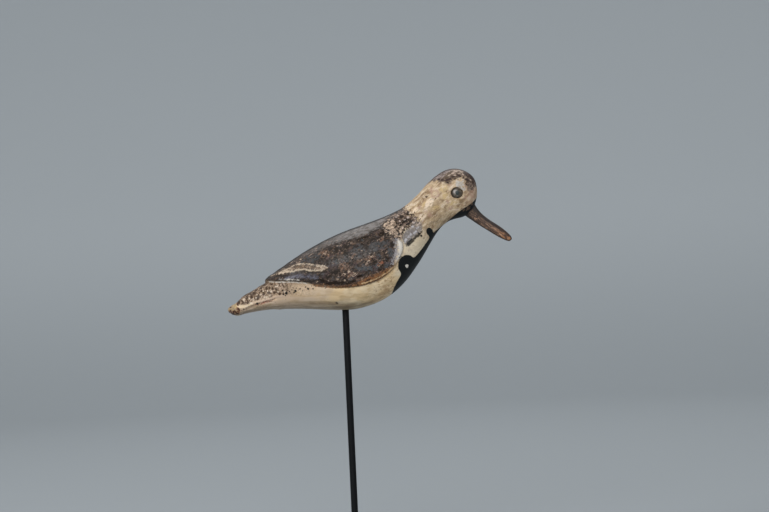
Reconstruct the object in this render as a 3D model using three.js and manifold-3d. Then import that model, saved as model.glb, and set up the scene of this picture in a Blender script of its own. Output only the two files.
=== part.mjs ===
// A painted wooden shorebird decoy with a let-in bill and domed eyes, shown on a steel rod and a round foot.
// Millimetres, +Z up. The bird faces +X, and its two sides mirror each other in the XZ plane.
// The origin is the centre of the foot's underside, on the rod's axis.
import * as THREE from "three";
import { mergeVertices } from "three/addons/utils/BufferGeometryUtils.js";
import Module from "manifold-3d";

const wasm = await Module();
wasm.setup();

// Clearance left between any two pieces that touch
const fitGap = 0.3;

// The stand
const footDiameter = 100;
const footThickness = 8;
const footChamfer = 1;
const footUnderRod = 2.7;
const rodDiameter = 4.8;
const rodShowing = 200;
const rodDepthInBird = 26;
const rodChamfer = 0.6;
const rodSides = 36;
const footSides = 72;

// The bird: its body from the tail tip to the forehead, and its bill from the face to the bill's tip
const bodyLength = 196;
const billLength = 38.5;
const billDroop = 37.7;
const wingRelief = 1.5;
const tenonDiameter = 4.4;
const tenonDepth = 9;
const tenonReach = 6;
const eyeDiameter = 7.6;
const eyeDome = 1.7;
const eyeSeatDepth = 1.4;
const eyeBehindForehead = 15.6;
const eyeBelowCrown = 19;
const billBelowEye = 13.6;

// The bird's own shape is drawn with x = 0 on the rod and z = 0 under the belly there.
// Each rib runs from the belly line to the back line and is half as wide as halfWidth on each side.
// lift moves its widest point from the middle, down at -1 and up at 1, and square above 2 makes it boxy.
const rib = (backX, backZ, bellyX, bellyZ, halfWidth, lift = 0, square = 2.1) => ({
  backX, backZ, bellyX, bellyZ, halfWidth, lift, square,
});

const tailRibs = [
  rib(-91.0, 3.9, -91.0, 3.9, 0),
  rib(-90.2, 5.9, -90.2, 1.7, 4.4),
  rib(-87.0, 7.1, -87.0, 0.3, 7.6, 0, 2.3),
  rib(-83.0, 8.4, -82.6, 0.0, 9.6, -0.1, 2.5),
  rib(-79.6, 12.0, -78.0, 0.6, 10.8, -0.2, 2.5),
  rib(-74.5, 15.4, -72.5, 1.5, 12.0, -0.25, 2.4),
  rib(-67.0, 19.4, -64.5, 2.5, 13.8, -0.22, 2.3),
];
const trunkRibs = [
  rib(-58.0, 26.2, -55.0, 3.2, 16.4, -0.12, 2.2),
  rib(-44.0, 36.7, -40.0, 2.8, 20.6, 0, 2.2),
  rib(-25.0, 47.9, -20.0, 1.5, 25.2, 0.05, 2.2),
  rib(-3.0, 57.9, 2.0, 0.1, 28.0, 0.04, 2.2),
  rib(18.0, 64.7, 22.0, 3.7, 28.4, 0, 2.2),
  rib(34.0, 70.0, 39.0, 12.7, 25.8, -0.04, 2.2),
  rib(46.0, 75.2, 52.0, 25.9, 21.2, -0.06, 2.2),
];
const headRibs = [
  rib(54.5, 80.8, 62.0, 39.8, 17.0, -0.04),
  rib(60.8, 87.0, 70.0, 52.2, 14.2),
  rib(66.8, 93.6, 77.5, 61.4, 13.2, 0.02),
  rib(74.8, 100.2, 85.0, 65.7, 13.6, 0.02),
  rib(84.0, 104.4, 91.5, 67.0, 14.2, 0.02),
  rib(93.0, 104.0, 96.6, 69.0, 13.4),
  rib(99.6, 100.6, 100.6, 72.6, 11.2),
  rib(103.2, 96.0, 103.2, 77.6, 7.9),
  rib(104.6, 91.2, 104.6, 82.6, 4.0),
  rib(104.9, 87.0, 104.9, 87.0, 0),
];
const birdRibs = [...tailRibs, ...trunkRibs, ...headRibs];

// The bill is drawn along its own axis, with x = 0 where that axis meets the face, and starts inside the head.
const billRibs = [
  rib(-7.0, 7.4, -6.8, -5.1, 3.6),
  rib(-3.1, 6.9, -2.7, -5.7, 4.0),
  rib(0.5, 5.1, 1.4, -5.8, 3.9),
  rib(5.2, 3.3, 5.9, -5.7, 3.6),
  rib(10.7, 2.4, 11.4, -5.6, 3.4),
  rib(17.2, 2.3, 17.9, -5.2, 3.3),
  rib(23.2, 2.6, 24.2, -4.8, 3.2),
  rib(29.1, 2.5, 30.2, -4.2, 2.9),
  rib(33.9, 1.9, 35.1, -3.2, 2.3),
  rib(36.5, 1.1, 37.3, -1.9, 1.3),
  rib(37.7, 0, 37.7, 0, 0),
];

// The wing as it shows from the side, from its tip along the lower edge and round the shoulder.
const wingEdge = [
  [-62.3, 24.6], [-50, 24.1], [-40, 23.5], [-30, 22], [-20, 19.9], [-10, 18.3], [0, 17.5], [10, 17.6],
  [20, 19.3], [28.3, 22.5], [34, 26.2], [38.8, 30.6], [42.4, 35.8], [45.2, 41.4], [46.4, 46.5],
  [45, 51.6], [39.5, 56.6], [31, 61.2], [18, 66.8],
];
// The wings blend into the back in front of x = wingCrestEnd and stand proud behind wingCrestStart.
const wingCrestStart = -20;
const wingCrestEnd = 20;
const wingTipStart = -67;
const wingTipEnd = -57;
const shoulderStart = 46;
const shoulderEnd = 62;

// Mesh fineness, with rings drawn together towards the ends of a loft
const birdRings = 64;
const birdSides = 38;
const billRings = 22;
const billSides = 20;
const eyeSides = 24;
const eyeSteps = 5;
const endCrowding = 0.35;
const fineness = 3;
const searchStep = 0.0005;

const carve = bodyLength / (birdRibs.at(-1).backX - birdRibs[0].backX);
const billCarve = billLength / billRibs.at(-1).backX;
const birdBase = footThickness + rodShowing;
const smoothstep = (low, high, x) => THREE.MathUtils.smoothstep(x, low, high);

// A natural cubic spline through values at knots, as a function of the place between them.
function naturalSpline(knots, values) {
  const last = knots.length - 1;
  const gap = knots.slice(1).map((k, i) => k - knots[i]);
  const bend = new Array(last + 1).fill(0);
  const factor = new Array(last + 1).fill(0);
  for (let i = 1; i < last; i++) {
    const slopeChange = (values[i + 1] - values[i]) / gap[i] - (values[i] - values[i - 1]) / gap[i - 1];
    const pivot = 2 * (gap[i - 1] + gap[i]) - gap[i - 1] * factor[i - 1];
    factor[i] = gap[i] / pivot;
    bend[i] = (6 * slopeChange - gap[i - 1] * bend[i - 1]) / pivot;
  }
  for (let i = last - 1; i > 0; i--) bend[i] -= factor[i] * bend[i + 1];
  return (at) => {
    let i = 0;
    while (i < last - 1 && at > knots[i + 1]) i++;
    const a = (knots[i + 1] - at) / gap[i];
    const b = (at - knots[i]) / gap[i];
    const curve = ((a ** 3 - a) * bend[i] + (b ** 3 - b) * bend[i + 1]) * gap[i] ** 2 / 6;
    return a * values[i] + b * values[i + 1] + curve;
  };
}

// The form between ribs: a function that gives the rib at each place from 0 to 1.
function fairedRibs(ribs) {
  const knots = [0];
  for (let i = 1; i < ribs.length; i++) {
    const back = Math.hypot(ribs[i].backX - ribs[i - 1].backX, ribs[i].backZ - ribs[i - 1].backZ);
    const belly = Math.hypot(ribs[i].bellyX - ribs[i - 1].bellyX, ribs[i].bellyZ - ribs[i - 1].bellyZ);
    knots.push(knots[i - 1] + (back + belly) / 2);
  }
  const splines = Object.keys(ribs[0]).map((key) => [key, naturalSpline(knots, ribs.map((r) => r[key]))]);
  return (place) => Object.fromEntries(splines.map(([key, s]) => [key, s(place * knots.at(-1))]));
}

// A power of a sine or cosine that keeps its sign, as on a superellipse.
const bowed = (share, square) => Math.sign(share) * Math.abs(share) ** (2 / square);

// A point on a rib, angle 0 at its side and 90 degrees on the back, with the side and the back cut in.
function ribPoint(r, angle, cut) {
  const height = Math.hypot(r.backX - r.bellyX, r.backZ - r.bellyZ);
  const up = { x: (r.backX - r.bellyX) / height, z: (r.backZ - r.bellyZ) / height };
  const rise = bowed(Math.sin(angle), r.square);
  const share = (1 + rise + r.lift * (1 - rise ** 2)) / 2;
  const along = share * (height - cut.back);
  const y = bowed(Math.cos(angle), r.square) * (r.halfWidth - cut.side);
  return [r.bellyX + up.x * along, y, r.bellyZ + up.z * along];
}

// A closed skin over the ribs. cutAt gives how far each rib's side and back are cut in.
function loft(ribs, rings, sides, cutAt = () => ({ side: 0, back: 0 })) {
  const ribAt = fairedRibs(ribs);
  const points = [];
  const faces = [];
  for (let i = 1; i < rings; i++) {
    const even = i / rings;
    const crowded = (1 - Math.cos(Math.PI * even)) / 2;
    const r = ribAt(THREE.MathUtils.lerp(even, crowded, endCrowding));
    for (let j = 0; j < sides; j++) points.push(ribPoint(r, (2 * Math.PI * j) / sides, cutAt(r)));
  }
  const ring = (i, j) => (i - 1) * sides + (j % sides);
  for (let i = 1; i < rings - 1; i++) {
    for (let j = 0; j < sides; j++) {
      faces.push(ring(i, j), ring(i, j + 1), ring(i + 1, j));
      faces.push(ring(i, j + 1), ring(i + 1, j + 1), ring(i + 1, j));
    }
  }
  [[ribs[0], 1], [ribs.at(-1), rings - 1]].forEach(([end, ringIndex]) => {
    const tip = points.length;
    points.push([(end.backX + end.bellyX) / 2, 0, (end.backZ + end.bellyZ) / 2]);
    for (let j = 0; j < sides; j++) {
      const fan = [ring(ringIndex, j), ring(ringIndex, j + 1), tip];
      faces.push(...(ringIndex === 1 ? fan.reverse() : fan));
    }
  });
  const geometry = new THREE.BufferGeometry();
  geometry.setAttribute("position", new THREE.Float32BufferAttribute(points.flat(), 3));
  geometry.setIndex(faces);
  return geometry;
}

function solidOf(geometry) {
  const bare = geometry.clone();
  bare.deleteAttribute("normal");
  bare.deleteAttribute("uv");
  const merged = mergeVertices(bare, 1e-4);
  return new wasm.Manifold(
    new wasm.Mesh({
      numProp: 3,
      vertProperties: new Float32Array(merged.attributes.position.array),
      triVerts: new Uint32Array(merged.index.array),
    }),
  );
}

function geometryOf(solid) {
  const mesh = solid.getMesh();
  const geometry = new THREE.BufferGeometry();
  geometry.setAttribute("position", new THREE.BufferAttribute(mesh.vertProperties, 3));
  geometry.setIndex(new THREE.BufferAttribute(mesh.triVerts, 1));
  return geometry;
}

// A round bar between two points, each [x, y, z].
function bar(radius, from, to, sides = rodSides) {
  const start = new THREE.Vector3(...from);
  const end = new THREE.Vector3(...to);
  const geometry = new THREE.CylinderGeometry(radius, radius, start.distanceTo(end), sides);
  const turn = new THREE.Quaternion().setFromUnitVectors(
    new THREE.Vector3(0, 1, 0),
    end.clone().sub(start).normalize(),
  );
  geometry.applyQuaternion(turn);
  geometry.translate(...start.add(end).multiplyScalar(0.5).toArray());
  return geometry;
}

// A turned piece on the Z axis, from a profile of [radius, z] that starts and ends on the axis.
function turned(profile, sides) {
  const points = profile.map(([r, z]) => new THREE.Vector2(r, z));
  return new THREE.LatheGeometry(points, sides).rotateX(Math.PI / 2);
}

const scaledRibs = (ribs, factor) =>
  ribs.map((r) => ({
    ...r,
    backX: r.backX * factor,
    backZ: r.backZ * factor,
    bellyX: r.bellyX * factor,
    bellyZ: r.bellyZ * factor,
    halfWidth: r.halfWidth * factor,
  }));

const ribs = scaledRibs(birdRibs, carve);

// The ground beside the wings is cut back by the relief, and the full form is kept inside the wings' outline.
const groundCut = (r) => {
  const x = r.backX / carve;
  const behindShoulder = 1 - smoothstep(shoulderStart, shoulderEnd, x);
  const overTail = smoothstep(wingTipStart, wingTipEnd, x);
  return {
    side: wingRelief * overTail * behindShoulder,
    back: wingRelief * overTail * (1 - smoothstep(wingCrestStart, wingCrestEnd, x)),
  };
};

function wingPrism() {
  const edge = wingEdge.map(([x, z]) => new THREE.Vector2(x * carve, z * carve));
  const outline = new THREE.SplineCurve(edge).getPoints(4 * wingEdge.length);
  const clear = bodyLength;
  const shape = new THREE.Shape([
    ...outline,
    new THREE.Vector2(outline.at(-1).x, clear),
    new THREE.Vector2(outline[0].x, clear),
  ]);
  const prism = new THREE.ExtrudeGeometry(shape, { depth: bodyLength, bevelEnabled: false });
  return prism.translate(0, 0, -bodyLength / 2).rotateX(Math.PI / 2);
}

// How far the bird stands out to the side at a point of the side view.
function sideAt(x, z) {
  const position = loft(ribs, fineness * birdRings, fineness * birdSides).getAttribute("position");
  let nearest = Infinity;
  let y = 0;
  for (let i = 0; i < position.count; i++) {
    const distance = Math.hypot(position.getX(i) - x, position.getZ(i) - z);
    if (position.getY(i) > 0 && distance < nearest) {
      nearest = distance;
      y = position.getY(i);
    }
  }
  return y;
}

// How far forward the face and throat reach at a height.
function faceAt(z) {
  const ribAt = fairedRibs(ribs);
  let place = 1;
  while (ribAt(place).bellyZ > z) place -= searchStep;
  return ribAt(place).bellyX;
}

const crown = Math.max(...ribs.map((r) => r.backZ));
const eyeAt = { x: ribs.at(-1).backX - eyeBehindForehead, z: crown - eyeBelowCrown };
const eyeSeatY = sideAt(eyeAt.x, eyeAt.z) - eyeSeatDepth;

// The bill's axis, from its root on the face towards its tip.
const rootZ = eyeAt.z - billBelowEye;
const root = new THREE.Vector3(faceAt(rootZ), 0, rootZ);
const droop = THREE.MathUtils.degToRad(billDroop);
const billWay = new THREE.Vector3(Math.cos(droop), 0, -Math.sin(droop));
const alongBill = (distance) => root.clone().addScaledVector(billWay, distance).toArray();

function birdBody() {
  const whole = solidOf(loft(ribs, birdRings, birdSides));
  const ground = solidOf(loft(ribs, birdRings, birdSides, groundCut));
  let body = ground.add(whole.intersect(solidOf(wingPrism())));
  const rodHole = rodDiameter / 2 + fitGap;
  body = body.subtract(solidOf(bar(rodHole, [0, 0, -rodShowing / 2], [0, 0, rodDepthInBird + fitGap])));
  const tenonHole = tenonDiameter / 2 + fitGap;
  body = body.subtract(
    solidOf(bar(tenonHole, alongBill(-tenonDepth - fitGap), alongBill(tenonReach), eyeSides)),
  );
  for (const side of [-1, 1]) {
    const socket = bar(
      eyeDiameter / 2 + fitGap,
      [eyeAt.x, side * eyeSeatY, eyeAt.z],
      [eyeAt.x, side * (eyeSeatY + eyeDiameter), eyeAt.z],
      eyeSides,
    );
    body = body.subtract(solidOf(socket));
  }
  return geometryOf(body);
}

// The bill's own form, cut off by the face one gap clear of it. The face slants about 45 degrees to its axis.
function bill() {
  const form = loft(scaledRibs(billRibs, billCarve), billRings, billSides);
  form.rotateY(droop).translate(root.x, 0, root.z);
  const face = loft(ribs, birdRings, birdSides);
  face.translate(...billWay.clone().multiplyScalar(Math.SQRT2 * fitGap).toArray());
  const blade = solidOf(form).subtract(solidOf(face));
  const tenon = solidOf(bar(tenonDiameter / 2, alongBill(-tenonDepth), alongBill(tenonReach), eyeSides));
  return geometryOf(blade.add(tenon));
}

// A domed eye with a flat back, turned to face +Y or -Y.
function eye(side) {
  const radius = eyeDiameter / 2;
  const back = fitGap;
  const rim = eyeSeatDepth;
  const profile = [[0, back], [radius, back], [radius, rim]];
  for (let i = 1; i <= eyeSteps; i++) {
    const angle = (Math.PI / 2) * (i / eyeSteps);
    profile.push([radius * Math.cos(angle), rim + eyeDome * Math.sin(angle)]);
  }
  profile.at(-1)[0] = 0;
  const dome = turned(profile, eyeSides).rotateX((-side * Math.PI) / 2);
  return dome.translate(eyeAt.x, side * eyeSeatY, eyeAt.z);
}

function rod() {
  const radius = rodDiameter / 2;
  const bottom = footUnderRod + fitGap;
  const top = birdBase + rodDepthInBird;
  return turned(
    [
      [0, bottom],
      [radius - rodChamfer, bottom],
      [radius, bottom + rodChamfer],
      [radius, top - rodChamfer],
      [radius - rodChamfer, top],
      [0, top],
    ],
    rodSides,
  );
}

function foot() {
  const radius = footDiameter / 2;
  const seat = rodDiameter / 2 + fitGap;
  return turned(
    [
      [0, 0],
      [radius - footChamfer, 0],
      [radius, footChamfer],
      [radius, footThickness - footChamfer],
      [radius - footChamfer, footThickness],
      [seat, footThickness],
      [seat, footUnderRod],
      [0, footUnderRod],
    ],
    footSides,
  );
}

const finish = (color, roughness, metalness = 0) =>
  new THREE.MeshStandardMaterial({ color, roughness, metalness });
const paintedWood = finish(0x8d7658, 0.45);
const bareBillWood = finish(0x5a4030, 0.5);
const darkGlass = finish(0x26221d, 0.1);
const blackSteel = finish(0x1b1c1f, 0.4, 0.6);

function named(name, geometry, material) {
  const mesh = new THREE.Mesh(geometry, material);
  mesh.name = name;
  return mesh;
}

const bird = new THREE.Group();
bird.position.z = birdBase;
bird.add(
  named("carved_body", birdBody(), paintedWood),
  named("bill", bill(), bareBillWood),
  named("right_eye", eye(-1), darkGlass),
  named("left_eye", eye(1), darkGlass),
);

const stand = new THREE.Group();
stand.add(named("rod", rod(), blackSteel), named("foot", foot(), blackSteel));

const decoy = new THREE.Group();
decoy.add(bird, stand);

export default decoy;
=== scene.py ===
# A small carved and painted wooden shorebird decoy on a steel rod with a round foot.
import math

import bpy
import numpy as np
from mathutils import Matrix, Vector, noise
from mathutils.bvhtree import BVHTree


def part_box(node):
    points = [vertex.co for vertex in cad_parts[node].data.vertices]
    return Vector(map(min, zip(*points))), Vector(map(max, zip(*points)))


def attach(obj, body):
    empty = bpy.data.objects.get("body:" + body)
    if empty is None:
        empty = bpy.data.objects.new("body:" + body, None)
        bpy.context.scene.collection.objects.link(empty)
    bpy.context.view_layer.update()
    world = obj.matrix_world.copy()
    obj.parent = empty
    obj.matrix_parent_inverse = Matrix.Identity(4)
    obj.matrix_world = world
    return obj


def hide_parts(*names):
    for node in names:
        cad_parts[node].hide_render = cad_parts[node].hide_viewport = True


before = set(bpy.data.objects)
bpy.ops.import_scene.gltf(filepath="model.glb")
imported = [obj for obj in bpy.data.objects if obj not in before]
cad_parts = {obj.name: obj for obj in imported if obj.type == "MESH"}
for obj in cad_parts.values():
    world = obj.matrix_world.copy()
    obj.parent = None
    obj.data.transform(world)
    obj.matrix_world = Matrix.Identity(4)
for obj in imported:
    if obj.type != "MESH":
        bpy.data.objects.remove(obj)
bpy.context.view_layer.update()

# Every size below is in millimetres unless its comment says otherwise. The bird's own points are given as
# (x, z) or (x, y, z) from the rod's axis and the bird's underside. Its two sides mirror each other in y.
MM = 0.001
ROD_IN_BIRD = 26
ROD_CLEARANCE = 0.3
STEEL_PAINT = 0.17
ROD_ROUNDING = 0.6
FOOT_ROUNDING = 1
SEAT_ROUNDING = 0.4
FLAT_BESIDE_ROUNDING = 1

# The photograph's view, through a lens for a film 36 mm wide, turned a little about its own axis.
VIEW_DISTANCE = 1645
VIEW_CENTRE = (31.9, 39.8)
VIEW_ROLL = 0.0459
LENS = 100
FILM_WIDTH = 36

# The form of the body, as ribs from the tail's tip to the face: back point x, z, belly point x, z, half
# width, lift of the widest place and squareness.
TAIL_RIBS = [
    (-91, 3.9, -91, 3.9, 0, 0, 2.1),
    (-90.2, 5.9, -90.2, 1.7, 4.4, 0, 2.1),
    (-87, 7.1, -87, 0.3, 7.6, 0, 2.3),
    (-83, 8.4, -82.6, 0, 9.6, -0.1, 2.5),
    (-79.6, 12, -78, 0.6, 10.8, -0.2, 2.5),
    (-74.5, 15.4, -72.5, 1.5, 12, -0.25, 2.4),
    (-67, 19.4, -64.5, 2.5, 13.8, -0.22, 2.3),
]
TRUNK_RIBS = [
    (-58, 26.2, -55, 3.2, 16.4, -0.12, 2.2),
    (-44, 36.7, -40, 2.8, 20.6, 0, 2.2),
    (-25, 47.9, -20, 1.5, 25.2, 0.05, 2.2),
    (-3, 57.9, 2, 0.1, 28, 0.04, 2.2),
    (18, 64.7, 22, 3.7, 28.4, 0, 2.2),
    (34, 70, 39, 12.7, 25.8, -0.04, 2.2),
    (46, 75.2, 52, 25.9, 21.2, -0.06, 2.2),
]
HEAD_RIBS = [
    (54.5, 80.8, 62, 39.8, 17, -0.04, 2.1),
    (60.8, 87, 70, 52.2, 14.2, 0, 2.1),
    (66.8, 93.6, 77.5, 61.4, 13.2, 0.02, 2.1),
    (74.8, 100.2, 85, 65.7, 13.6, 0.02, 2.1),
    (84, 104.4, 91.5, 67, 14.2, 0.02, 2.1),
    (93, 104, 96.6, 69, 13.4, 0, 2.1),
    (99.6, 100.6, 100.6, 72.6, 11.2, 0, 2.1),
    (103.2, 96, 103.2, 77.6, 7.9, 0, 2.1),
    (104.6, 91.2, 104.6, 82.6, 4, 0, 2.1),
    (104.9, 87, 104.9, 87, 0, 0, 2.1),
]
BODY_RIBS = TAIL_RIBS + TRUNK_RIBS + HEAD_RIBS

# The bill in its own frame, with x along its axis from the face and z upwards.
BILL_RIBS = [
    (-7, 7.4, -6.8, -5.1, 3.6, 0, 2.1),
    (-3.1, 6.9, -2.7, -5.7, 4, 0, 2.1),
    (0.5, 5.1, 1.4, -5.8, 3.9, 0, 2.1),
    (5.2, 3.3, 5.9, -5.7, 3.6, 0, 2.1),
    (10.7, 2.4, 11.4, -5.6, 3.4, 0, 2.1),
    (17.2, 2.3, 17.9, -5.2, 3.3, 0, 2.1),
    (23.2, 2.6, 24.2, -4.8, 3.2, 0, 2.1),
    (29.1, 2.5, 30.2, -4.2, 2.9, 0, 2.1),
    (33.9, 1.9, 35.1, -3.2, 2.3, 0, 2.1),
    (36.5, 1.1, 37.3, -1.9, 1.3, 0, 2.1),
    (37.7, 0, 37.7, 0, 0, 0, 2.1),
]
BILL_LENGTH = 38.5
BILL_DROOP = math.radians(37.7)
BILL_BELOW_EYE = 13.6
BILL_SINK = 0.3
BILL_ROOT_SHARE = 0.7
BILL_ROOT_TRIALS = 140

# The eyes, with the places of the pupil and of the painted highlight on the iris from the eye's middle.
EYE_SEAT_GAP = 0.3
SEAT_FADE = 0.8
SEAT_OVERLAP = 0.1
EYE_DOME = 1.7
EYE_LIP = 0.12
EYE_RING_SQUASH = 1.17
PUPIL = (0.2, -0.1)
PUPIL_SQUASH = 1.25
IRIS_HIGHLIGHT_AT = (-1.1, 0.8)

# The carved wings stand proud by this much inside their outline, with a soft step at its edge. The cut
# beside them fades out between these places, along x, towards the tail, over the back and at the shoulder.
WING_RELIEF = 1.5
WING_STEP = (-0.8, 0.8)
WING_TIP = (-66, -59)
WING_CREST = (-20, 20)
SHOULDER = (46, 62)
# The wing's outline, first its lower edge from the tip forwards and then its front edge up to the back.
WING_EDGE = [
    (-62.3, 24.6), (-50, 24.1), (-40, 23.5), (-30, 22), (-20, 19.9), (-10, 18.3), (0, 17.5), (10, 17.6),
    (20, 19.3), (28.3, 22.5), (34, 26.2), (38.8, 30.6), (42.4, 35.8), (45.2, 41.4), (46.4, 46.5),
    (45, 51.6), (39.5, 56.6), (31, 61.2), (18, 66.8),
]
WING_LOW_POINTS = 10
# How wide the wear along the wing's lower edge is, as (x, width).
WORN_WIDTH = [
    (-24, 0.7), (2, 1.2), (10, 3.4), (16, 5), (21, 5.6), (26, 5.2), (31, 4.2), (36, 2.4), (40, 1.6),
]

# How far the paint, the carving and wear raise or lower the surface.
PAINT_SKIN = 0.4
TOOL_SWELL = 0.14
FINE_SWELL = 0.05
TAIL_SWELL = 0.35
WING_GROOVE = 0.45
SHOULDER_ROLL = 0.45
TIP_FULLNESS = 1.2
BACK_FULLNESS = 0.5
CROWN_WEAR = 0.6
TAIL_TIP_WEAR = 1
STROKE_RISE = 0.12
STROKE_DENT = 0.16
CREASE_DEPTH = 0.35
CREASE_LIP = 0.3
BAND_DIP = 0.4
BAND_LINE_RISE = 0.25
NAIL_DEPTH = 0.5
ROD_HOLE = (3.1, 2.5)
ROD_HOLE_DIP = 1.4

# Painted outlines as they show from the side: the dark paint's front edge, the lower edge of a painted
# sheen along the back, the bib, the cap and the closed patches on the shoulder, behind the bib and in it.
# Those that run out over the back or the breast close beyond it.
ABOVE = 130
DARK_FRONT = [
    (36.4, 29.2), (38.3, 31.6), (38.6, 34.4), (40.2, 38.3), (41.3, 42.3), (40.9, 47.5), (41.9, 51.2),
    (45.6, 51.8), (47, 54.6), (47.6, 57.8), (49.8, 59.2), (54, 61.8), (57.2, 63.6), (58.4, 66),
    (55.6, 69.6), (52.4, 73), (48.6, 76.4), (45.4, 79.6),
]
# The lower edge of a painted sheen along the top of the back: a painted reflection of the light overhead.
BACK_SHEEN_EDGE = [
    (-33, 39.6), (-27.2, 42.5), (-21.2, 45.2), (-15.2, 47.8), (-9.2, 50.1), (-3.2, 51.7), (2.7, 52.9),
    (8.6, 54.1), (15.3, 55.6), (21.3, 57.9), (26.5, 60.2), (31, 64.2), (35.4, 68), (39.4, 71.6),
]
BIB = [
    (104.6, 81.4), (103.2, 80.2), (100.6, 77.6), (96.6, 75), (90.6, 71.4), (83.4, 66.2), (76.8, 61.2),
    (72.4, 57.9), (70.3, 56.3), (69.3, 58.6), (67.4, 60.1), (65.7, 59.7), (64.6, 57.8), (65.2, 55.3),
    (66.5, 53.6), (66.3, 51.6), (63, 47.2), (60, 43.4), (54.6, 37.9), (51.8, 39.3), (47.9, 39.9),
    (44.4, 38), (42.3, 34), (41.9, 30), (43.4, 26.8), (43.5, 25), (42.6, 23.2), (40.6, 20.2), (38.8, 17),
    (37.2, 13.8), (36, 10.8), (35, 8.6),
]
BEYOND_BREAST = [(36, -8), (130, -8), (130, 75)]
CAP = [
    (66, 95), (71.7, 95.6), (75.3, 95.8), (77.3, 95.2), (80.5, 94.4), (83.1, 93.2), (85.8, 94.8),
    (88.5, 96.2), (91.1, 96.5), (93.8, 97.8), (95.4, 98.4), (96.9, 96.7), (96.2, 94.4), (97, 91.1),
    (98, 88.5), (100, 86.5), (102, 87.3), (104.4, 90), (108, 90),
]
BEYOND_CROWN = [(106, ABOVE), (60, ABOVE)]
PATCHES = {
    "patch": [
        (30.6, 64.2), (34.1, 65.9), (40.6, 67), (42, 63.8), (44.2, 61.6), (46.8, 60.6), (47.7, 57.8),
        (46.8, 54.5), (45.8, 51.8), (42.3, 52.2), (38.7, 53), (35.1, 55.4), (33.4, 59.5),
    ],
    # The crescent on the shoulder's roll: white paint, brightened as a painted highlight.
    "crescent": [
        (41.6, 53), (44.1, 51.6), (45.9, 49.3), (46.2, 45.6), (45.4, 42), (43.8, 38.4), (41.8, 35.4),
        (40, 33.6), (39.6, 35), (41.2, 39), (42.2, 42.6), (42.5, 46), (42, 49.6),
    ],
    "band": [
        (47.3, 49.2), (46.8, 52.9), (47.7, 56.5), (50.4, 59.4), (52.7, 61.4), (55, 63.5), (58, 65),
        (60.6, 64.6), (61.8, 62), (61.6, 58.6), (59.4, 56.6), (57, 54.4), (54.6, 52.4), (52.4, 50),
        (51.2, 48.4), (49, 48.2),
    ],
    "spot": [
        (47.1, 32.2), (48.1, 32.8), (49.4, 32.6), (49.7, 31.5), (49, 30.1), (48.3, 29.8), (47.4, 30.9),
    ],
}
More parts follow.
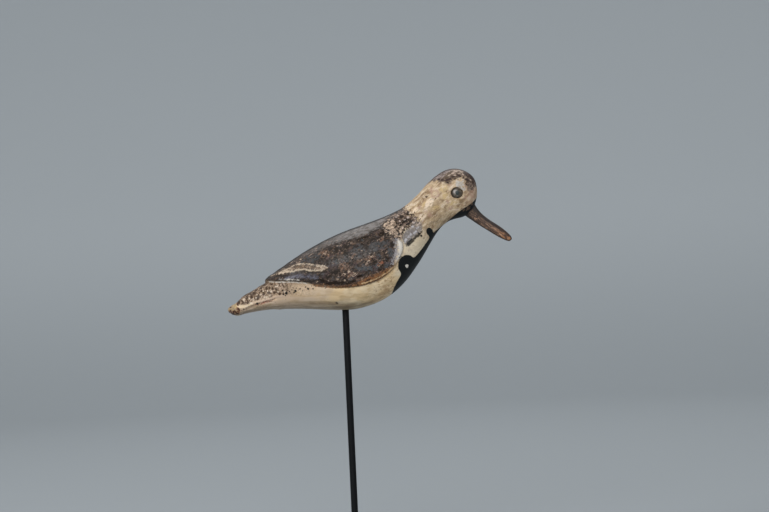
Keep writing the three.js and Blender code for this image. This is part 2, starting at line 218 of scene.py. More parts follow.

# Worn, stained and lighter places, and a few painted highlights, as soft ovals: centre x, z, half length,
# half height and tilt in degrees.
BLOTS = {
    "patch_lights": [
        (33.7, 63.1, 1.3, 1), (36, 65.1, 1.6, 0.9, 20), (38.9, 66.1, 2, 0.9, 10), (41.1, 64.2, 1.3, 1),
        (42.4, 60.5, 1.3, 1.5), (40, 57.6, 1.8, 1.3), (45.9, 58.8, 1.1, 1.8), (41.4, 54.6, 1.8, 1.1),
        (45, 55.2, 1.3, 1.5),
    ],
    # Painted highlights on the glossy grey band behind the bib.
    "band_highlights": [
        (48.6, 51, 1.3, 3, -25), (52, 54.8, 3.2, 1.2, 40), (56.6, 57.4, 2.6, 1.1, 35),
        (54.4, 61.2, 2.2, 1, 40), (58.4, 60.4, 2, 1, 45),
    ],
    "nape_blots": [
        (46.1, 69.6, 3.2, 2.2, 30), (44.4, 64.9, 2.6, 2.2), (47.2, 61.9, 2.4, 1.8, 40),
        (51.3, 71.9, 2, 1.5, 20), (53.3, 67.5, 2.6, 1.7, -20), (55.6, 70.3, 1.3, 1.3),
        (57.7, 67.9, 1.7, 1.2, 30), (56.1, 63.7, 1.4, 1.1), (59.8, 64.2, 1.4, 1.1, 10),
        (50.9, 63.9, 2, 1.4, -30), (60.6, 67.1, 1, 0.9), (62.6, 63.4, 0.9, 0.8),
    ],
    "nape_darks": [
        (46.4, 69.1, 1.9, 1.3, 20), (47.7, 65.3, 1.9, 1.4), (41.8, 64.9, 1.6, 1.3), (50.9, 71.1, 1.4, 1.2),
        (56, 69.4, 1.5, 1), (58.2, 70.7, 1.2, 0.9), (58.8, 67, 1.4, 1), (45.3, 61.8, 1.8, 1.3),
        (47.5, 61, 1.3, 1.1), (35.7, 60, 2.4, 1.3, 10), (32, 59.2, 1.8, 1.1), (52.4, 66.6, 1.5, 1.1, 30),
    ],
    "nape_lights": [
        (51.3, 68.5, 1.4, 1, 20), (55.4, 64.6, 1.4, 1, -30), (56.8, 67.1, 1, 0.8),
        (62.3, 65.1, 1.3, 0.8, 45), (60.4, 63.8, 1.5, 1.1), (44.9, 65.9, 1.2, 0.8),
        (46.6, 60.2, 0.8, 1.6, -10), (43, 69.6, 2.4, 0.8, 30), (58.6, 62.2, 1.2, 0.9),
        (53.2, 72.2, 1.8, 0.8, 30), (48.6, 66.9, 1.2, 0.7, 20),
    ],
    "cap_darks": [
        (79.3, 96.4, 1.7, 1, 10), (82.2, 96, 1.8, 1.3), (85.2, 96.6, 1.4, 1.2), (83.1, 94, 0.9, 0.9),
        (87.2, 98.3, 1.8, 1, 10), (91.9, 99, 2, 0.8, -25), (95.1, 97.2, 1.3, 1.3),
        (99.1, 99.1, 2.2, 1.6, -30), (102, 97.1, 1.6, 2.6, 20), (102.7, 93.6, 1, 2.2),
        (98.4, 95.3, 2.3, 1.2, -20), (96.8, 100.4, 2.2, 1, -35), (88.5, 96.6, 1.3, 0.7),
        (97.1, 92.7, 0.8, 1.4), (76.4, 97, 1.4, 0.9, 20),
    ],
    "cap_lights": [
        (90.1, 103.2, 3.2, 1.2, 5), (94, 102.3, 2.6, 0.9, -25), (87.4, 101.2, 2.4, 0.8, 20),
        (92, 100.8, 1.9, 0.6, -15), (84.7, 99.8, 1.7, 0.6, 30), (89, 99.4, 1.4, 0.6),
        (95.2, 100, 1.2, 0.6, -30), (100.6, 95.2, 1.2, 0.8),
    ],
    # Lilac-grey on the back of the crown: worn slate paint and a painted sheen.
    "cap_slate_sheen": [
        (75.5, 99.3, 3.6, 2, 38), (79.5, 101.1, 3.4, 1.8, 30), (77.8, 98.3, 2.4, 1.2, 25),
        (83.5, 103.2, 3, 1.2, 15),
    ],
    # The chalky place over the eye, partly pale paint and partly a painted highlight.
    "head_chalk_highlight": [
        (94.2, 89.8, 3.4, 2.2, -40), (90.4, 91.4, 1.6, 1.6), (91.6, 93, 3, 1.8, 20),
        (93.8, 94.4, 2.2, 1.1, 10), (89.6, 94.6, 1.6, 0.9), (94.4, 91.6, 1.3, 1.2), (90, 91.2, 0.9, 0.9),
    ],
    "head_yellows": [
        (80, 89.4, 4.6, 3.4, 30), (80.4, 83.8, 3.6, 3, 60), (64.6, 78.1, 4, 2.2, 40),
        (73, 75.1, 4, 2.4, 20), (86.4, 78, 3, 1.6, 30),
    ],
    "head_pinks": [
        (85, 92.1, 1.6, 1.2), (96.4, 90.3, 1.4, 1.8), (68.2, 70.1, 2.6, 2.4), (84.8, 74.6, 3, 1.6, 30),
        (82.5, 79.9, 1.8, 2.2), (65, 72.2, 2, 1.4), (101.9, 88, 1.8, 3.6), (101, 83.4, 2.4, 3, 20),
        (69.8, 89.7, 1.4, 3.4), (88.4, 72.6, 2.6, 0.8, 33), (96, 82, 2.6, 1.4, 35),
        (60.4, 76.4, 2.6, 1.4, 45),
    ],
    "head_browns": [
        (92.6, 79.6, 4.4, 2, 32), (97.6, 78.6, 2.4, 1.4, 30), (73.9, 65.6, 4.4, 2, 33),
        (68.6, 62.6, 3, 2, 45), (72.8, 69.9, 1.6, 1.2), (80.6, 76, 2.2, 1.2, 40), (78.4, 80.6, 1.6, 1),
        (93.4, 77.6, 2.6, 1, 30), (90, 76.8, 1.6, 1), (63.4, 82.4, 1.6, 1, 40),
    ],
    "neck_lights": [(68.4, 79.2, 4.8, 3, 50), (57.6, 74.2, 3, 1.4, 40), (62.4, 68.4, 3.4, 2.6, 20)],
    "chin_stains": [(97.6, 73.6, 3, 1.6, 40), (94.4, 72.4, 1.6, 0.9, 30), (100.4, 76.6, 1.4, 1, 40)],
    "rust": [
        (-14.6, 44.6, 5, 1.6, 20), (-11.6, 42.4, 3, 1.4), (0.2, 32.8, 5, 4.4, 20), (4, 26.6, 6.6, 3, 10),
        (28.6, 34.2, 3, 2.2, 40), (18.8, 23.9, 8, 2, 14), (10.1, 22.6, 5, 1.4, 5), (28.4, 27.6, 6, 1.4, 30),
        (-0.6, 43.2, 2.4, 1.2, 30), (20.6, 38.4, 5, 2.4, 10), (7.3, 40.9, 3.4, 1.8, 20),
        (12, 36.6, 3.6, 1.6), (-20, 32.4, 3, 1.6), (31, 52.8, 4, 1.6, 40), (35, 30.2, 2.4, 0.9, 50),
    ],
    "orange": [(29.8, 34.8, 1.4, 1.2, 40), (26.4, 32.9, 0.8, 0.9), (27.8, 34.9, 0.8, 0.6)],
    "slate": [
        (-21.9, 40.7, 8, 3.4, 30), (27.4, 48.1, 10, 4, 10), (36.9, 42.4, 2.6, 7, -8), (18, 31, 8, 2.2, 5),
        (34.2, 33.4, 3.4, 2.4, 40), (-6.8, 37.2, 3.4, 3.2), (-30.3, 38.4, 7, 1.8, 40),
        (11.2, 46, 7, 2.6, 20), (26.6, 39.6, 2.6, 2.2), (22.6, 29.4, 3, 1.8, 20),
    ],
    "black": [
        (-19.6, 24, 2.6, 0.9), (-15.6, 22.6, 3.4, 1.2, -10), (-11.4, 20.7, 3, 1.3, -5), (-7.1, 21, 3, 1.6),
        (-2.2, 20.5, 3.4, 1.7), (3.2, 20.4, 3, 1.2, 3), (7.6, 21.6, 2.2, 0.9, 5), (26, 60.6, 5, 1.8, 25),
        (16, 54.4, 5, 1, 15), (30.6, 56.6, 2.6, 1.6, 40), (12, 25.2, 2.6, 0.9, 20),
    ],
    "plum": [(-7.4, 33.4, 4, 3.4), (-14, 28.6, 3, 2), (36.6, 36, 2.4, 3.4, -20), (-10.6, 41, 3.6, 1.8, 30)],
    "flecks": [
        (-2.5, 44.6, 2, 1.8, 30), (-0.6, 34, 2.2, 2), (2.2, 32.6, 2, 1.6), (6.3, 38.9, 1.6, 2.2),
        (11.2, 39, 1.8, 1.4), (20.6, 39.6, 4.2, 1.6), (-5.5, 26.1, 2.6, 1.4, 10), (0.4, 27.2, 3.2, 1.6),
        (7.4, 26.4, 3.4, 1.5), (3.7, 29.2, 2.4, 1.6), (-11.8, 22.9, 2.6, 0.6, -5),
        (-13, 44.2, 3.6, 1.4, 15), (5.8, 50.2, 3.4, 1.6, 15), (-2.3, 49.5, 2.4, 1, 15),
        (12.7, 53.8, 3, 1.2, 15), (28.8, 53.7, 4, 1.6, 30), (17.6, 24.7, 3, 1.2, 20),
        (-20.5, 47, 3, 1.4, 30), (19.2, 35.8, 2.2, 1.6), (26.4, 36.8, 2.6, 1.2, 30),
        (-25, 42.6, 3.4, 1.4, 40), (-34, 38.6, 3.4, 1.4, 40), (-39.4, 37.2, 3.6, 1.2, 36),
        (-30, 42.6, 3, 1.2, 36),
    ],
    "tail_darks": [
        (-81.5, 9, 0.9, 2.6), (-75.5, 12.3, 0.9, 1.4, -10), (-74.9, 8.8, 0.7, 1.6, -15),
        (-79.5, 13.5, 1.5, 0.8, 35), (-75.9, 14.8, 1.4, 0.7, 30), (-72.9, 15.2, 1.2, 0.9, 20),
        (-69.4, 15.5, 1.4, 0.8, 30), (-66.6, 12.6, 0.9, 2.4, -12), (-62.4, 14.8, 1, 1.3),
        (-65.6, 20.9, 1.5, 0.8, 35), (-59.7, 18.6, 0.8, 1.5), (-61.6, 21.4, 1.1, 0.9),
        (-57.6, 19.1, 0.7, 1.3), (-64.1, 19.2, 1, 0.8), (-58.3, 15.6, 1.2, 1), (-53.8, 15.6, 1.2, 0.9, 20),
        (-49.8, 14.4, 1.1, 1, 40), (-55.2, 18.4, 0.8, 1.2), (-49.7, 22.4, 1, 0.7),
        (-70.8, 18, 1.4, 0.8, 30), (-68, 17.6, 0.9, 0.9), (-71.4, 12.6, 0.8, 1.2), (-78.3, 8.9, 0.7, 1),
        (-55.6, 21.6, 1, 0.8), (-52.3, 17.6, 0.8, 0.8), (-63.8, 16.8, 0.7, 1),
    ],
    "tail_lights": [
        (-64.4, 14.3, 0.9, 0.9), (-70.6, 10.8, 1.4, 1), (-73.4, 11.7, 0.8, 1.2), (-77.6, 10.9, 1.1, 1.4),
        (-68.5, 12, 1, 0.8), (-59.2, 16.9, 0.7, 1), (-56.3, 16.5, 0.8, 1.2), (-62.3, 16.9, 0.8, 0.8),
        (-57.4, 13.5, 1.4, 0.9), (-72.2, 8.1, 1.4, 1.2), (-76.3, 6, 2, 0.9, 10), (-51.2, 16, 1, 1),
        (-46.2, 16, 1, 0.9), (-52, 20, 1.6, 0.7), (-67.6, 14.6, 0.8, 0.8), (-60.6, 12.4, 2.4, 1, 10),
    ],
    "tail_stains": [
        (-89.2, 2.4, 1.6, 1.9), (-86.6, 1.2, 2.4, 1.1, -10), (-83.6, 1.6, 2.2, 1.4, 20),
        (-82.2, 3.8, 1.2, 1.8, 30), (-88.4, 6, 0.8, 0.7), (-82.3, 7.4, 0.7, 1.4, 20),
        (-85.6, 2.6, 1.4, 0.9),
    ],
    "breast_stains": [(28, 9.6, 5, 2.4, 35), (31.6, 14.4, 2.4, 4, 30), (22, 6, 4, 1.4, 20)],
}
NAIL_HOLE = (-6.4, 5.4, 1.5, 0.8, -30)

# Painted strokes, some of them painted shade or shadow: points of each line and its half width.
STROKES = {
    "band_line": [
        ([(50, 47.9), (51.8, 49.4), (53.6, 50.9)], 1.5),
        ([(53.6, 50.9), (56.5, 53.2), (59, 55.4)], 1.1),
        ([(59, 55.4), (61.2, 57.3)], 0.7),
    ],
    # Painted shade on the shoulder's roll, behind its crescent.
    "roll_shade": [
        ([(41.2, 51.8), (41.4, 48), (41, 44), (40.2, 40.6), (38.8, 37), (37.8, 34.4)], 1.3),
    ],
    "edge_light": [
        ([(13.8, 19.5), (18, 20.5), (22.3, 21.9), (26, 23.3), (29.5, 25.1), (34.5, 28.4), (38, 31),
          (40.2, 33.2)], 0.4),
    ],
    # Rust along the wing's lower edge, partly darkened as painted shadow of the groove beneath it.
    "edge_rust_and_shadow": [
        ([(-24, 20.2), (-21.2, 19.4), (-15.7, 18.4), (-9.4, 17.7), (-2.4, 17.4), (3, 17.5), (10.3, 18),
          (17, 19.2)], 0.95),
        ([(17, 19.2), (24.4, 21.7), (29.6, 24.2), (34.2, 27.2), (38.4, 30.8)], 0.6),
    ],
    "pale_strokes": [
        ([(-46.5, 31.8), (-43.5, 32.6), (-39.4, 34.4), (-36.8, 35.7), (-33.2, 36.3), (-30.7, 36.5),
          (-25.7, 36), (-20.7, 34.7), (-16.8, 32.8), (-15.3, 31.9)], 0.4),
        ([(-19.2, 34.9), (-15.2, 34.2), (-12.3, 32.8)], 0.4),
        ([(-48.6, 29.9), (-44.5, 30.8), (-39.5, 31.2), (-37, 31.7), (-33.4, 32.2), (-29.4, 32.1),
          (-25.9, 31.2), (-22.4, 31.2), (-18.8, 31), (-16.4, 31.2)], 0.65),
        ([(-49.6, 29.4), (-46.1, 29.9)], 0.35),
        ([(-56.2, 27.2), (-52.3, 28.8), (-49, 29.6)], -0.1),
    ],
    "white_strokes": [
        ([(-45, 25), (-41.8, 24.9), (-38, 24.8), (-34.8, 24.3)], 0.35),
        ([(-49.6, 25.5), (-47.6, 25.2), (-45, 25)], 0),
    ],
    "tan_strokes": [
        ([(-53.6, 28.4), (-49.8, 29.8), (-46, 31.2)], 0.8),
        ([(-46, 31.2), (-41, 32.6), (-36.9, 33.7), (-33.3, 34.2), (-28.3, 34.2), (-23.3, 33.4),
          (-19.3, 32.6), (-16, 32.4), (-13.6, 33)], 1.9),
    ],
    "grey_strokes": [
        ([(-57, 23.9), (-48.9, 23.4), (-43.9, 23.2), (-38.9, 22.8), (-33.9, 22.2), (-28.9, 21.5)], 0.3),
    ],
    "lobe_strokes": [
        ([(-44, 26.2), (-40.7, 27), (-36.1, 27.4), (-31.2, 26.9), (-26.2, 26.2), (-21.2, 25.8)], 1.7),
    ],
    # Dark strokes in the feather grooves; the one along the wing tip's lower edge is painted shadow of its
    # groove.
    "dark_and_shadow_strokes": [
        ([(-60, 25.6), (-55.8, 27), (-51.2, 27.8), (-46.2, 28), (-41.1, 28.6), (-37.1, 29.5), (-33.5, 30.3),
          (-28.5, 30.1), (-23.5, 29.6), (-18.5, 29.6), (-13.5, 29.3)], 0.75),
        ([(-61.4, 24.7), (-55.9, 24.7), (-51.4, 24.7), (-48, 24.2), (-43.8, 24), (-38.8, 23.7),
          (-31.3, 23.2), (-23.8, 22.4)], 0.5),
        ([(-61.4, 25), (-55.8, 28.7), (-50.1, 32.7), (-44.4, 36.9), (-38.6, 40.6), (-33.4, 43.6)], 1),
    ],
}

# Black dots on the cream of the tail, flank and breast: x, z and radius.
DOTS = [
    (-44.8, 14.7, 0.95), (-37.7, 16.1, 0.8), (-45.6, 13.1, 0.45), (-27.9, 17.4, 0.65), (-24.1, 17.2, 0.5),
    (-29.8, 18.8, 0.45), (-25.5, 19.4, 0.4), (-34.2, 17.7, 0.55), (-42.2, 15.8, 0.4), (-39.2, 15, 0.4),
    (-47.7, 16.8, 0.4), (-37.1, 18.3, 0.35), (-43.7, 16.6, 0.35), (-67.5, 7.7, 0.8), (-78.2, 3.9, 0.5),
    (-40.4, 16.9, 0.3), (-35.1, 16.6, 0.3), (-47.3, 14, 0.35), (-39.6, 18.7, 0.3), (-32.1, 16.1, 0.3),
    (-15.1, 17.2, 0.3), (60.6, 54, 0.75), (46.6, 57.2, 0.6), (62.6, 52.3, 0.35), (66.2, 83.8, 0.9),
    (73.4, 82, 0.4), (65.7, 87.3, 0.3), (81.8, 87.1, 0.3), (43.4, 36.6, 0.45), (42.2, 34.8, 0.4),
    (44.4, 38.8, 0.4), (43, 38.4, 0.35), (42.6, 40.6, 0.3),
]

# The crease along the tail, its bare tip and the ring on the cheek, by its centre and radius.
CREASE = [
    (-76.3, 4.3), (-72.9, 5.7), (-70.7, 6.5), (-67.9, 7.3), (-65.1, 7.7), (-62.9, 8.2), (-60.6, 8.9),
    (-58.4, 9.3), (-56.2, 9.9), (-54, 10.6), (-52.9, 10.9),
]
BARE_TIP = [(-95, -4), (-80.8, -2), (-81.6, 3), (-83.2, 6.6), (-82.2, 9.2), (-83.4, 12), (-95, 14)]
CHEEK_RING = (72.9, 85.8, 2.7)

# Where the breast turns into the neck, and the way from there to the head.
NECK_START = (45, 50)
HEADWARD = (0.5, 0.86)

# Where a blot starts and where it is full, as shares of its half length and half height.
BLOT_RIM = 1.3
BLOT_CORE = 0.2

# How finely each piece is drawn.
BODY_RINGS = 344
BODY_SIDES = 284
BILL_RINGS = 150
BILL_SIDES = 96
TURNED_SIDES = 128
EYE_SIDES = 96
DOME_STEPS = 24
END_CROWDING = 0.35
EVEN_STEPS = 720


def smooth(low, high, value):
    """A soft step from 0 at low to 1 at high."""
    share = np.clip((np.asarray(value, float) - low) / (high - low), 0, 1)
    return share * share * (3 - 2 * share)


def ridge(distance, half_width):
    """A rounded ridge, 1 at distance 0."""
    return np.exp(-((distance / half_width) ** 2))


def bowed(share, square):
    """A power of a sine or cosine that keeps its sign, as on a superellipse."""
    return np.sign(share) * np.abs(share) ** (2 / square)


def faired(ribs, places):
    """Rib values at places from 0 to 1 along a form, by a natural cubic spline through the ribs."""
    ribs = np.array(ribs, float)
    steps = np.diff(ribs, axis=0)
    runs = np.hypot(steps[:, 0], steps[:, 1]) + np.hypot(steps[:, 2], steps[:, 3])
    knots = np.concatenate([[0], np.cumsum(runs)])
    gap = np.diff(knots)
    slope = steps / gap[:, None]
    system = np.diag(np.r_[1, 2 * (gap[:-1] + gap[1:]), 1])
    system += np.diag(np.r_[gap[:-1], 0], -1) + np.diag(np.r_[0, gap[1:]], 1)
    still = np.zeros((1, ribs.shape[1]))
    bend = np.linalg.solve(system, np.vstack([still, 6 * np.diff(slope, axis=0), still]))
    at = np.ravel(places) * knots[-1]
    i = np.clip(np.searchsorted(knots, at, side="right") - 1, 0, len(gap) - 1)
    width = gap[i][:, None]
    a = (knots[i + 1] - at)[:, None] / width
    b = 1 - a
    curved = ((a**3 - a) * bend[i] + (b**3 - b) * bend[i + 1]) * width**2 / 6
    values = a * ribs[i] + b * ribs[i + 1] + curved
    return values.reshape(np.shape(places) + (ribs.shape[1],))


def crowded(count):
    """Places of rings along a form, drawn together towards its two ends."""
    even = np.arange(1, count) / count
    return even + ((1 - np.cos(np.pi * even)) / 2 - even) * END_CROWDING


def even_angles(ribs, sides):
    """Angles that space each ring's points evenly around its section."""
    fine = np.linspace(0, 2 * np.pi, EVEN_STEPS + 1)
    rows = []
    for back_x, back_z, belly_x, belly_z, half_width, _, square in ribs:
        half_height = math.hypot(back_x - belly_x, back_z - belly_z) / 2
        y = bowed(np.cos(fine), square) * half_width
        z = bowed(np.sin(fine), square) * half_height
        run = np.concatenate([[0], np.cumsum(np.hypot(np.diff(y), np.diff(z)))])
        rows.append(np.interp(np.linspace(0, run[-1], sides, endpoint=False), run, fine))
    return np.array(rows)


def section_points(ribs, angles, side_cut=0, back_cut=0):
    """Points on ribs, angle 0 at the side and 90 degrees on the back, and how far below the back they are."""
    back_x, back_z, belly_x, belly_z, half_width, lift, square = np.moveaxis(ribs, -1, 0)
    height = np.hypot(back_x - belly_x, back_z - belly_z)
    rise = bowed(np.sin(angles), square)
    share = (1 + rise + lift * (1 - rise**2)) / 2
    along = share * (height - back_cut)
    x = belly_x + (back_x - belly_x) / height * along
    y = bowed(np.cos(angles), square) * (half_width - side_cut)
    z = belly_z + (back_z - belly_z) / height * along
    return np.stack([x, y, z], -1), (1 - share) * height


def curve(points, steps=6):
    """A smooth line through given points."""
    line = np.array(points, float)
    padded = np.vstack([2 * line[0] - line[1], line, 2 * line[-1] - line[-2]])
    t = np.linspace(0, 1, steps, endpoint=False)[:, None]
    spans = []
    for p, q, r, s in zip(padded, padded[1:], padded[2:], padded[3:]):
        bend = (2 * p - 5 * q + 4 * r - s) * t**2 / 2
        spans.append(q + (r - p) * t / 2 + bend + (3 * q - p - 3 * r + s) * t**3 / 2)
    return np.vstack([*spans, line[-1:]])


def distance_to(line, x, z):
    """Millimetres from each point of the side view to a line."""
    nearest = np.full(x.shape, np.inf)
    for (ax, az), (bx, bz) in zip(line[:-1], line[1:]):
        length = (bx - ax) ** 2 + (bz - az) ** 2
        t = np.clip(((x - ax) * (bx - ax) + (z - az) * (bz - az)) / max(length, 1e-9), 0, 1)
        nearest = np.minimum(nearest, np.hypot(x - ax - t * (bx - ax), z - az - t * (bz - az)))
    return nearest


def inside(outline, x, z):
    """Millimetres inside a closed outline, negative outside it."""
    outline = np.asarray(outline, float)
    within = np.zeros(x.shape, bool)
    closed = np.vstack([outline, outline[:1]])
    for (ax, az), (bx, bz) in zip(closed[:-1], closed[1:]):
        if az != bz:
            crosses = (az > z) != (bz > z)
            within ^= crosses & (x < ax + (z - az) * (bx - ax) / (bz - az))
    distance = distance_to(closed, x, z)
    return np.where(within, distance, -distance)


def blot(x, z, centre_x, centre_z, half_length, half_height, tilt=0):
    """A soft oval stain, 1 at its centre and 0 from its rim outwards."""
    c = math.cos(math.radians(tilt))
    s = math.sin(math.radians(tilt))
    along = ((x - centre_x) * c + (z - centre_z) * s) / half_length
    across = ((z - centre_z) * c - (x - centre_x) * s) / half_height
    return smooth(BLOT_RIM, BLOT_CORE, np.hypot(along, across))


def blots(spots, x, z):
    """The strongest of several blots at each point."""
    return np.max([blot(x, z, *spot) for spot in spots], axis=0)


def strokes(lines, x, z):
    """Millimetres inside the nearest of several painted strokes."""
    return np.max([half_width - distance_to(curve(line), x, z) for line, half_width in lines], axis=0)


def over_back(edge):
    """A painted area that runs up over the back from an edge drawn from the tail forwards."""
    return np.vstack([edge, [(edge[-1][0], ABOVE), (edge[0][0], ABOVE)]])


def in_wing(x, z):
    """Millimetres inside the wing's outline."""
    return inside(over_back(curve(WING_EDGE)), x, z)


def swell(points, size, shift=0):
    """A gentle random swell over the points, about -1 to 1, with humps of a size in mm."""
    return np.array([noise.noise(Vector(p) / size + Vector((shift, shift, shift))) for p in points])


def link(name, vertices, faces, marks=None):
    """A smooth-shaded piece from points in mm, with a value at each point for every mark of its finish."""
    mesh = bpy.data.meshes.new(name)
    mesh.from_pydata((np.asarray(vertices) * MM).tolist(), [], faces)
    for mark, values in (marks or {}).items():
        kept = mesh.attributes.new(mark, "FLOAT", "POINT").data
        kept.foreach_set("value", np.asarray(values, np.float32))
    mesh.shade_smooth()
    piece = bpy.data.objects.new(name, mesh)
    bpy.context.scene.collection.objects.link(piece)
    return piece


def ring_faces(rings, sides):
    """Faces of a closed skin over rings of points, with a fan to one more point at each end."""
    faces = []
    for i in range(rings - 1):
        for j in range(sides):
            k = (j + 1) % sides
            faces.append((i * sides + j, i * sides + k, (i + 1) * sides + k, (i + 1) * sides + j))
    first = rings * sides
    last = (rings - 1) * sides
    for j in range(sides):
        k = (j + 1) % sides
        faces.append((k, j, first))
        faces.append((last + j, last + k, first + 1))
    return faces


def outward(points, rings, sides):
    """Unit normals of a skin's points, from its own grid."""
    grid = points[: rings * sides].reshape(rings, sides, 3)
    around = np.roll(grid, -1, 1) - np.roll(grid, 1, 1)
    along = np.gradient(grid, axis=0)
    normal = np.cross(around, along).reshape(-1, 3)
    normal /= np.linalg.norm(normal, axis=1)[:, None]
    return np.vstack([normal, [(-1, 0, 0), (1, 0, 0)]])


# Where things are, read from the frame
body_low, body_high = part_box("carved_body")
rod_low, rod_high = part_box("rod")
foot_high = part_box("foot")[1]
eye_low, eye_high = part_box("right_eye")
bird_base = rod_high.z / MM - ROD_IN_BIRD
carve = (body_high.x - body_low.x) / MM / (BODY_RIBS[-1][0] - BODY_RIBS[0][0])
eye_x = (eye_low.x + eye_high.x) / 2 / MM
eye_z = (eye_low.z + eye_high.z) / 2 / MM - bird_base
eye_radius = (eye_high.x - eye_low.x) / 2 / MM
eye_back = -eye_high.y / MM - EYE_SEAT_GAP
eye_top = -eye_low.y / MM


def scaled(ribs, factor):
    """Ribs at another size. Lift and squareness are shares and stay."""
    return np.array(ribs, float) * ([factor] * 5 + [1, 1])


def camera():
    """The photograph's view: level, from the bird's right side, turned a little about its own axis."""
    lens = bpy.data.cameras.new("camera")
    lens.lens = LENS
    lens.sensor_width = FILM_WIDTH
    view = bpy.data.objects.new("camera", lens)
    view.location = (VIEW_CENTRE[0] * MM, -VIEW_DISTANCE * MM, (bird_base + VIEW_CENTRE[1]) * MM)
    view.rotation_euler = (math.pi / 2, VIEW_ROLL, 0)
    bpy.context.scene.collection.objects.link(view)
    bpy.context.scene.camera = view


def wing_cuts(ribs):
    """How far the ground beside the wings is cut back at each ring, at the side and at the back."""
    x = ribs[:, 0] / carve
    over_tail = smooth(*WING_TIP, x)
    side = WING_RELIEF * over_tail * (1 - smooth(*SHOULDER, x))
    back = WING_RELIEF * over_tail * (1 - smooth(*WING_CREST, x))
    return side[:, None], back[:, None]


def seen_from_side(points):
    """Where points of the bird show in the side view, through a lens at the camera's distance."""
    nearer = VIEW_DISTANCE / (VIEW_DISTANCE - np.abs(points[:, 1]))
    x = VIEW_CENTRE[0] + (points[:, 0] - VIEW_CENTRE[0]) * nearer
    z = VIEW_CENTRE[1] + (points[:, 2] - VIEW_CENTRE[1]) * nearer
    return x, z


def side_marks(x, z):
    """What is carved or painted where on the bird's sides, each in mm inside its outline or as a share."""
    dark = np.vstack([curve(WING_EDGE[:WING_LOW_POINTS]), curve(DARK_FRONT)])
    crease_x, crease_z = np.array(CREASE).T
    ring_x, ring_z, ring_radius = CHEEK_RING
    marks = {name: inside(curve(line + line[:1]), x, z) for name, line in PATCHES.items()}
    marks.update({name: blots(spots, x, z) for name, spots in BLOTS.items()})
    marks.update({name: strokes(lines, x, z) for name, lines in STROKES.items()})
    marks["wing"] = in_wing(x, z)
    marks["dark"] = inside(over_back(dark), x, z)
    marks["back_sheen"] = inside(over_back(curve(BACK_SHEEN_EDGE)), x, z)
    marks["bib"] = inside(np.vstack([curve(BIB), BEYOND_BREAST]), x, z)
    marks["cap"] = inside(np.vstack([curve(CAP), BEYOND_CROWN]), x, z)
    marks["cheek"] = np.abs(np.hypot(x - ring_x, z - ring_z) - ring_radius)
    marks["dots"] = np.max([r - np.hypot(x - px, z - pz) for px, pz, r in DOTS], axis=0)
    marks["crease"] = distance_to(curve(CREASE), x, z)
    marks["above_crease"] = z - np.interp(x, crease_x, crease_z)
    marks["bare_tip"] = inside(BARE_TIP, x, z)
    marks["nail"] = blot(x, z, *NAIL_HOLE)
    marks["to_head"] = (x - NECK_START[0]) * HEADWARD[0] + (z - NECK_START[1]) * HEADWARD[1]
    marks["forward"] = x
    marks["height"] = z
    return marks


def relief(points, marks):
    """How far the carving and wear raise or lower the surface, each within its own stretch of x and z."""
    x, y, z = points.T
    wing = marks["wing"]
    above = marks["above_crease"]
    back = marks["below_back"]
    tail = smooth(-50, -58, x)
    shoulder = smooth(22, 38, x) * smooth(60, 50, z)
    rise = PAINT_SKIN + TOOL_SWELL * swell(points, 13) + FINE_SWELL * swell(points, 4, 3.1)
    rise -= WING_GROOVE * ridge(wing + 0.6, 0.75) * smooth(-62, -52, x) * smooth(64, 54, z)
    rise += SHOULDER_ROLL * shoulder * ridge(wing - 2.4, 1.9)
    rise += STROKE_RISE * smooth(-0.9, 0.6, marks["pale_strokes"])
    rise -= STROKE_DENT * smooth(-1, 0.6, marks["dark_and_shadow_strokes"])
    rise -= CREASE_DEPTH * ridge(marks["crease"], 0.55)
    rise += CREASE_LIP * ridge(above - 1.6, 1) * smooth(-80, -74, x) * smooth(-44, -54, x)
    rise += TAIL_SWELL * swell(points, 1.8, 7.3) * tail * smooth(4, 10, above)
    rise -= NAIL_DEPTH * marks["nail"] * (y < 0)
    rise -= BAND_DIP * smooth(-2, 2, marks["band"])
    rise += BAND_LINE_RISE * smooth(-0.6, 0.3, marks["band_line"])
    rise -= ROD_HOLE_DIP * smooth(*ROD_HOLE, np.hypot(x, y)) * (z < 12)
    rise -= TAIL_TIP_WEAR * smooth(-86, -89.5, x)
    rise += BACK_FULLNESS * (ridge(x + 82.5, 3) + ridge(x + 50.5, 3))
    rise += TIP_FULLNESS * smooth(-1.4, 0.4, wing) * tail * smooth(8, 2, back)
    rise -= CROWN_WEAR * smooth(56, 64, x) * smooth(104, 98, x) * smooth(12, 4, back)
    return rise


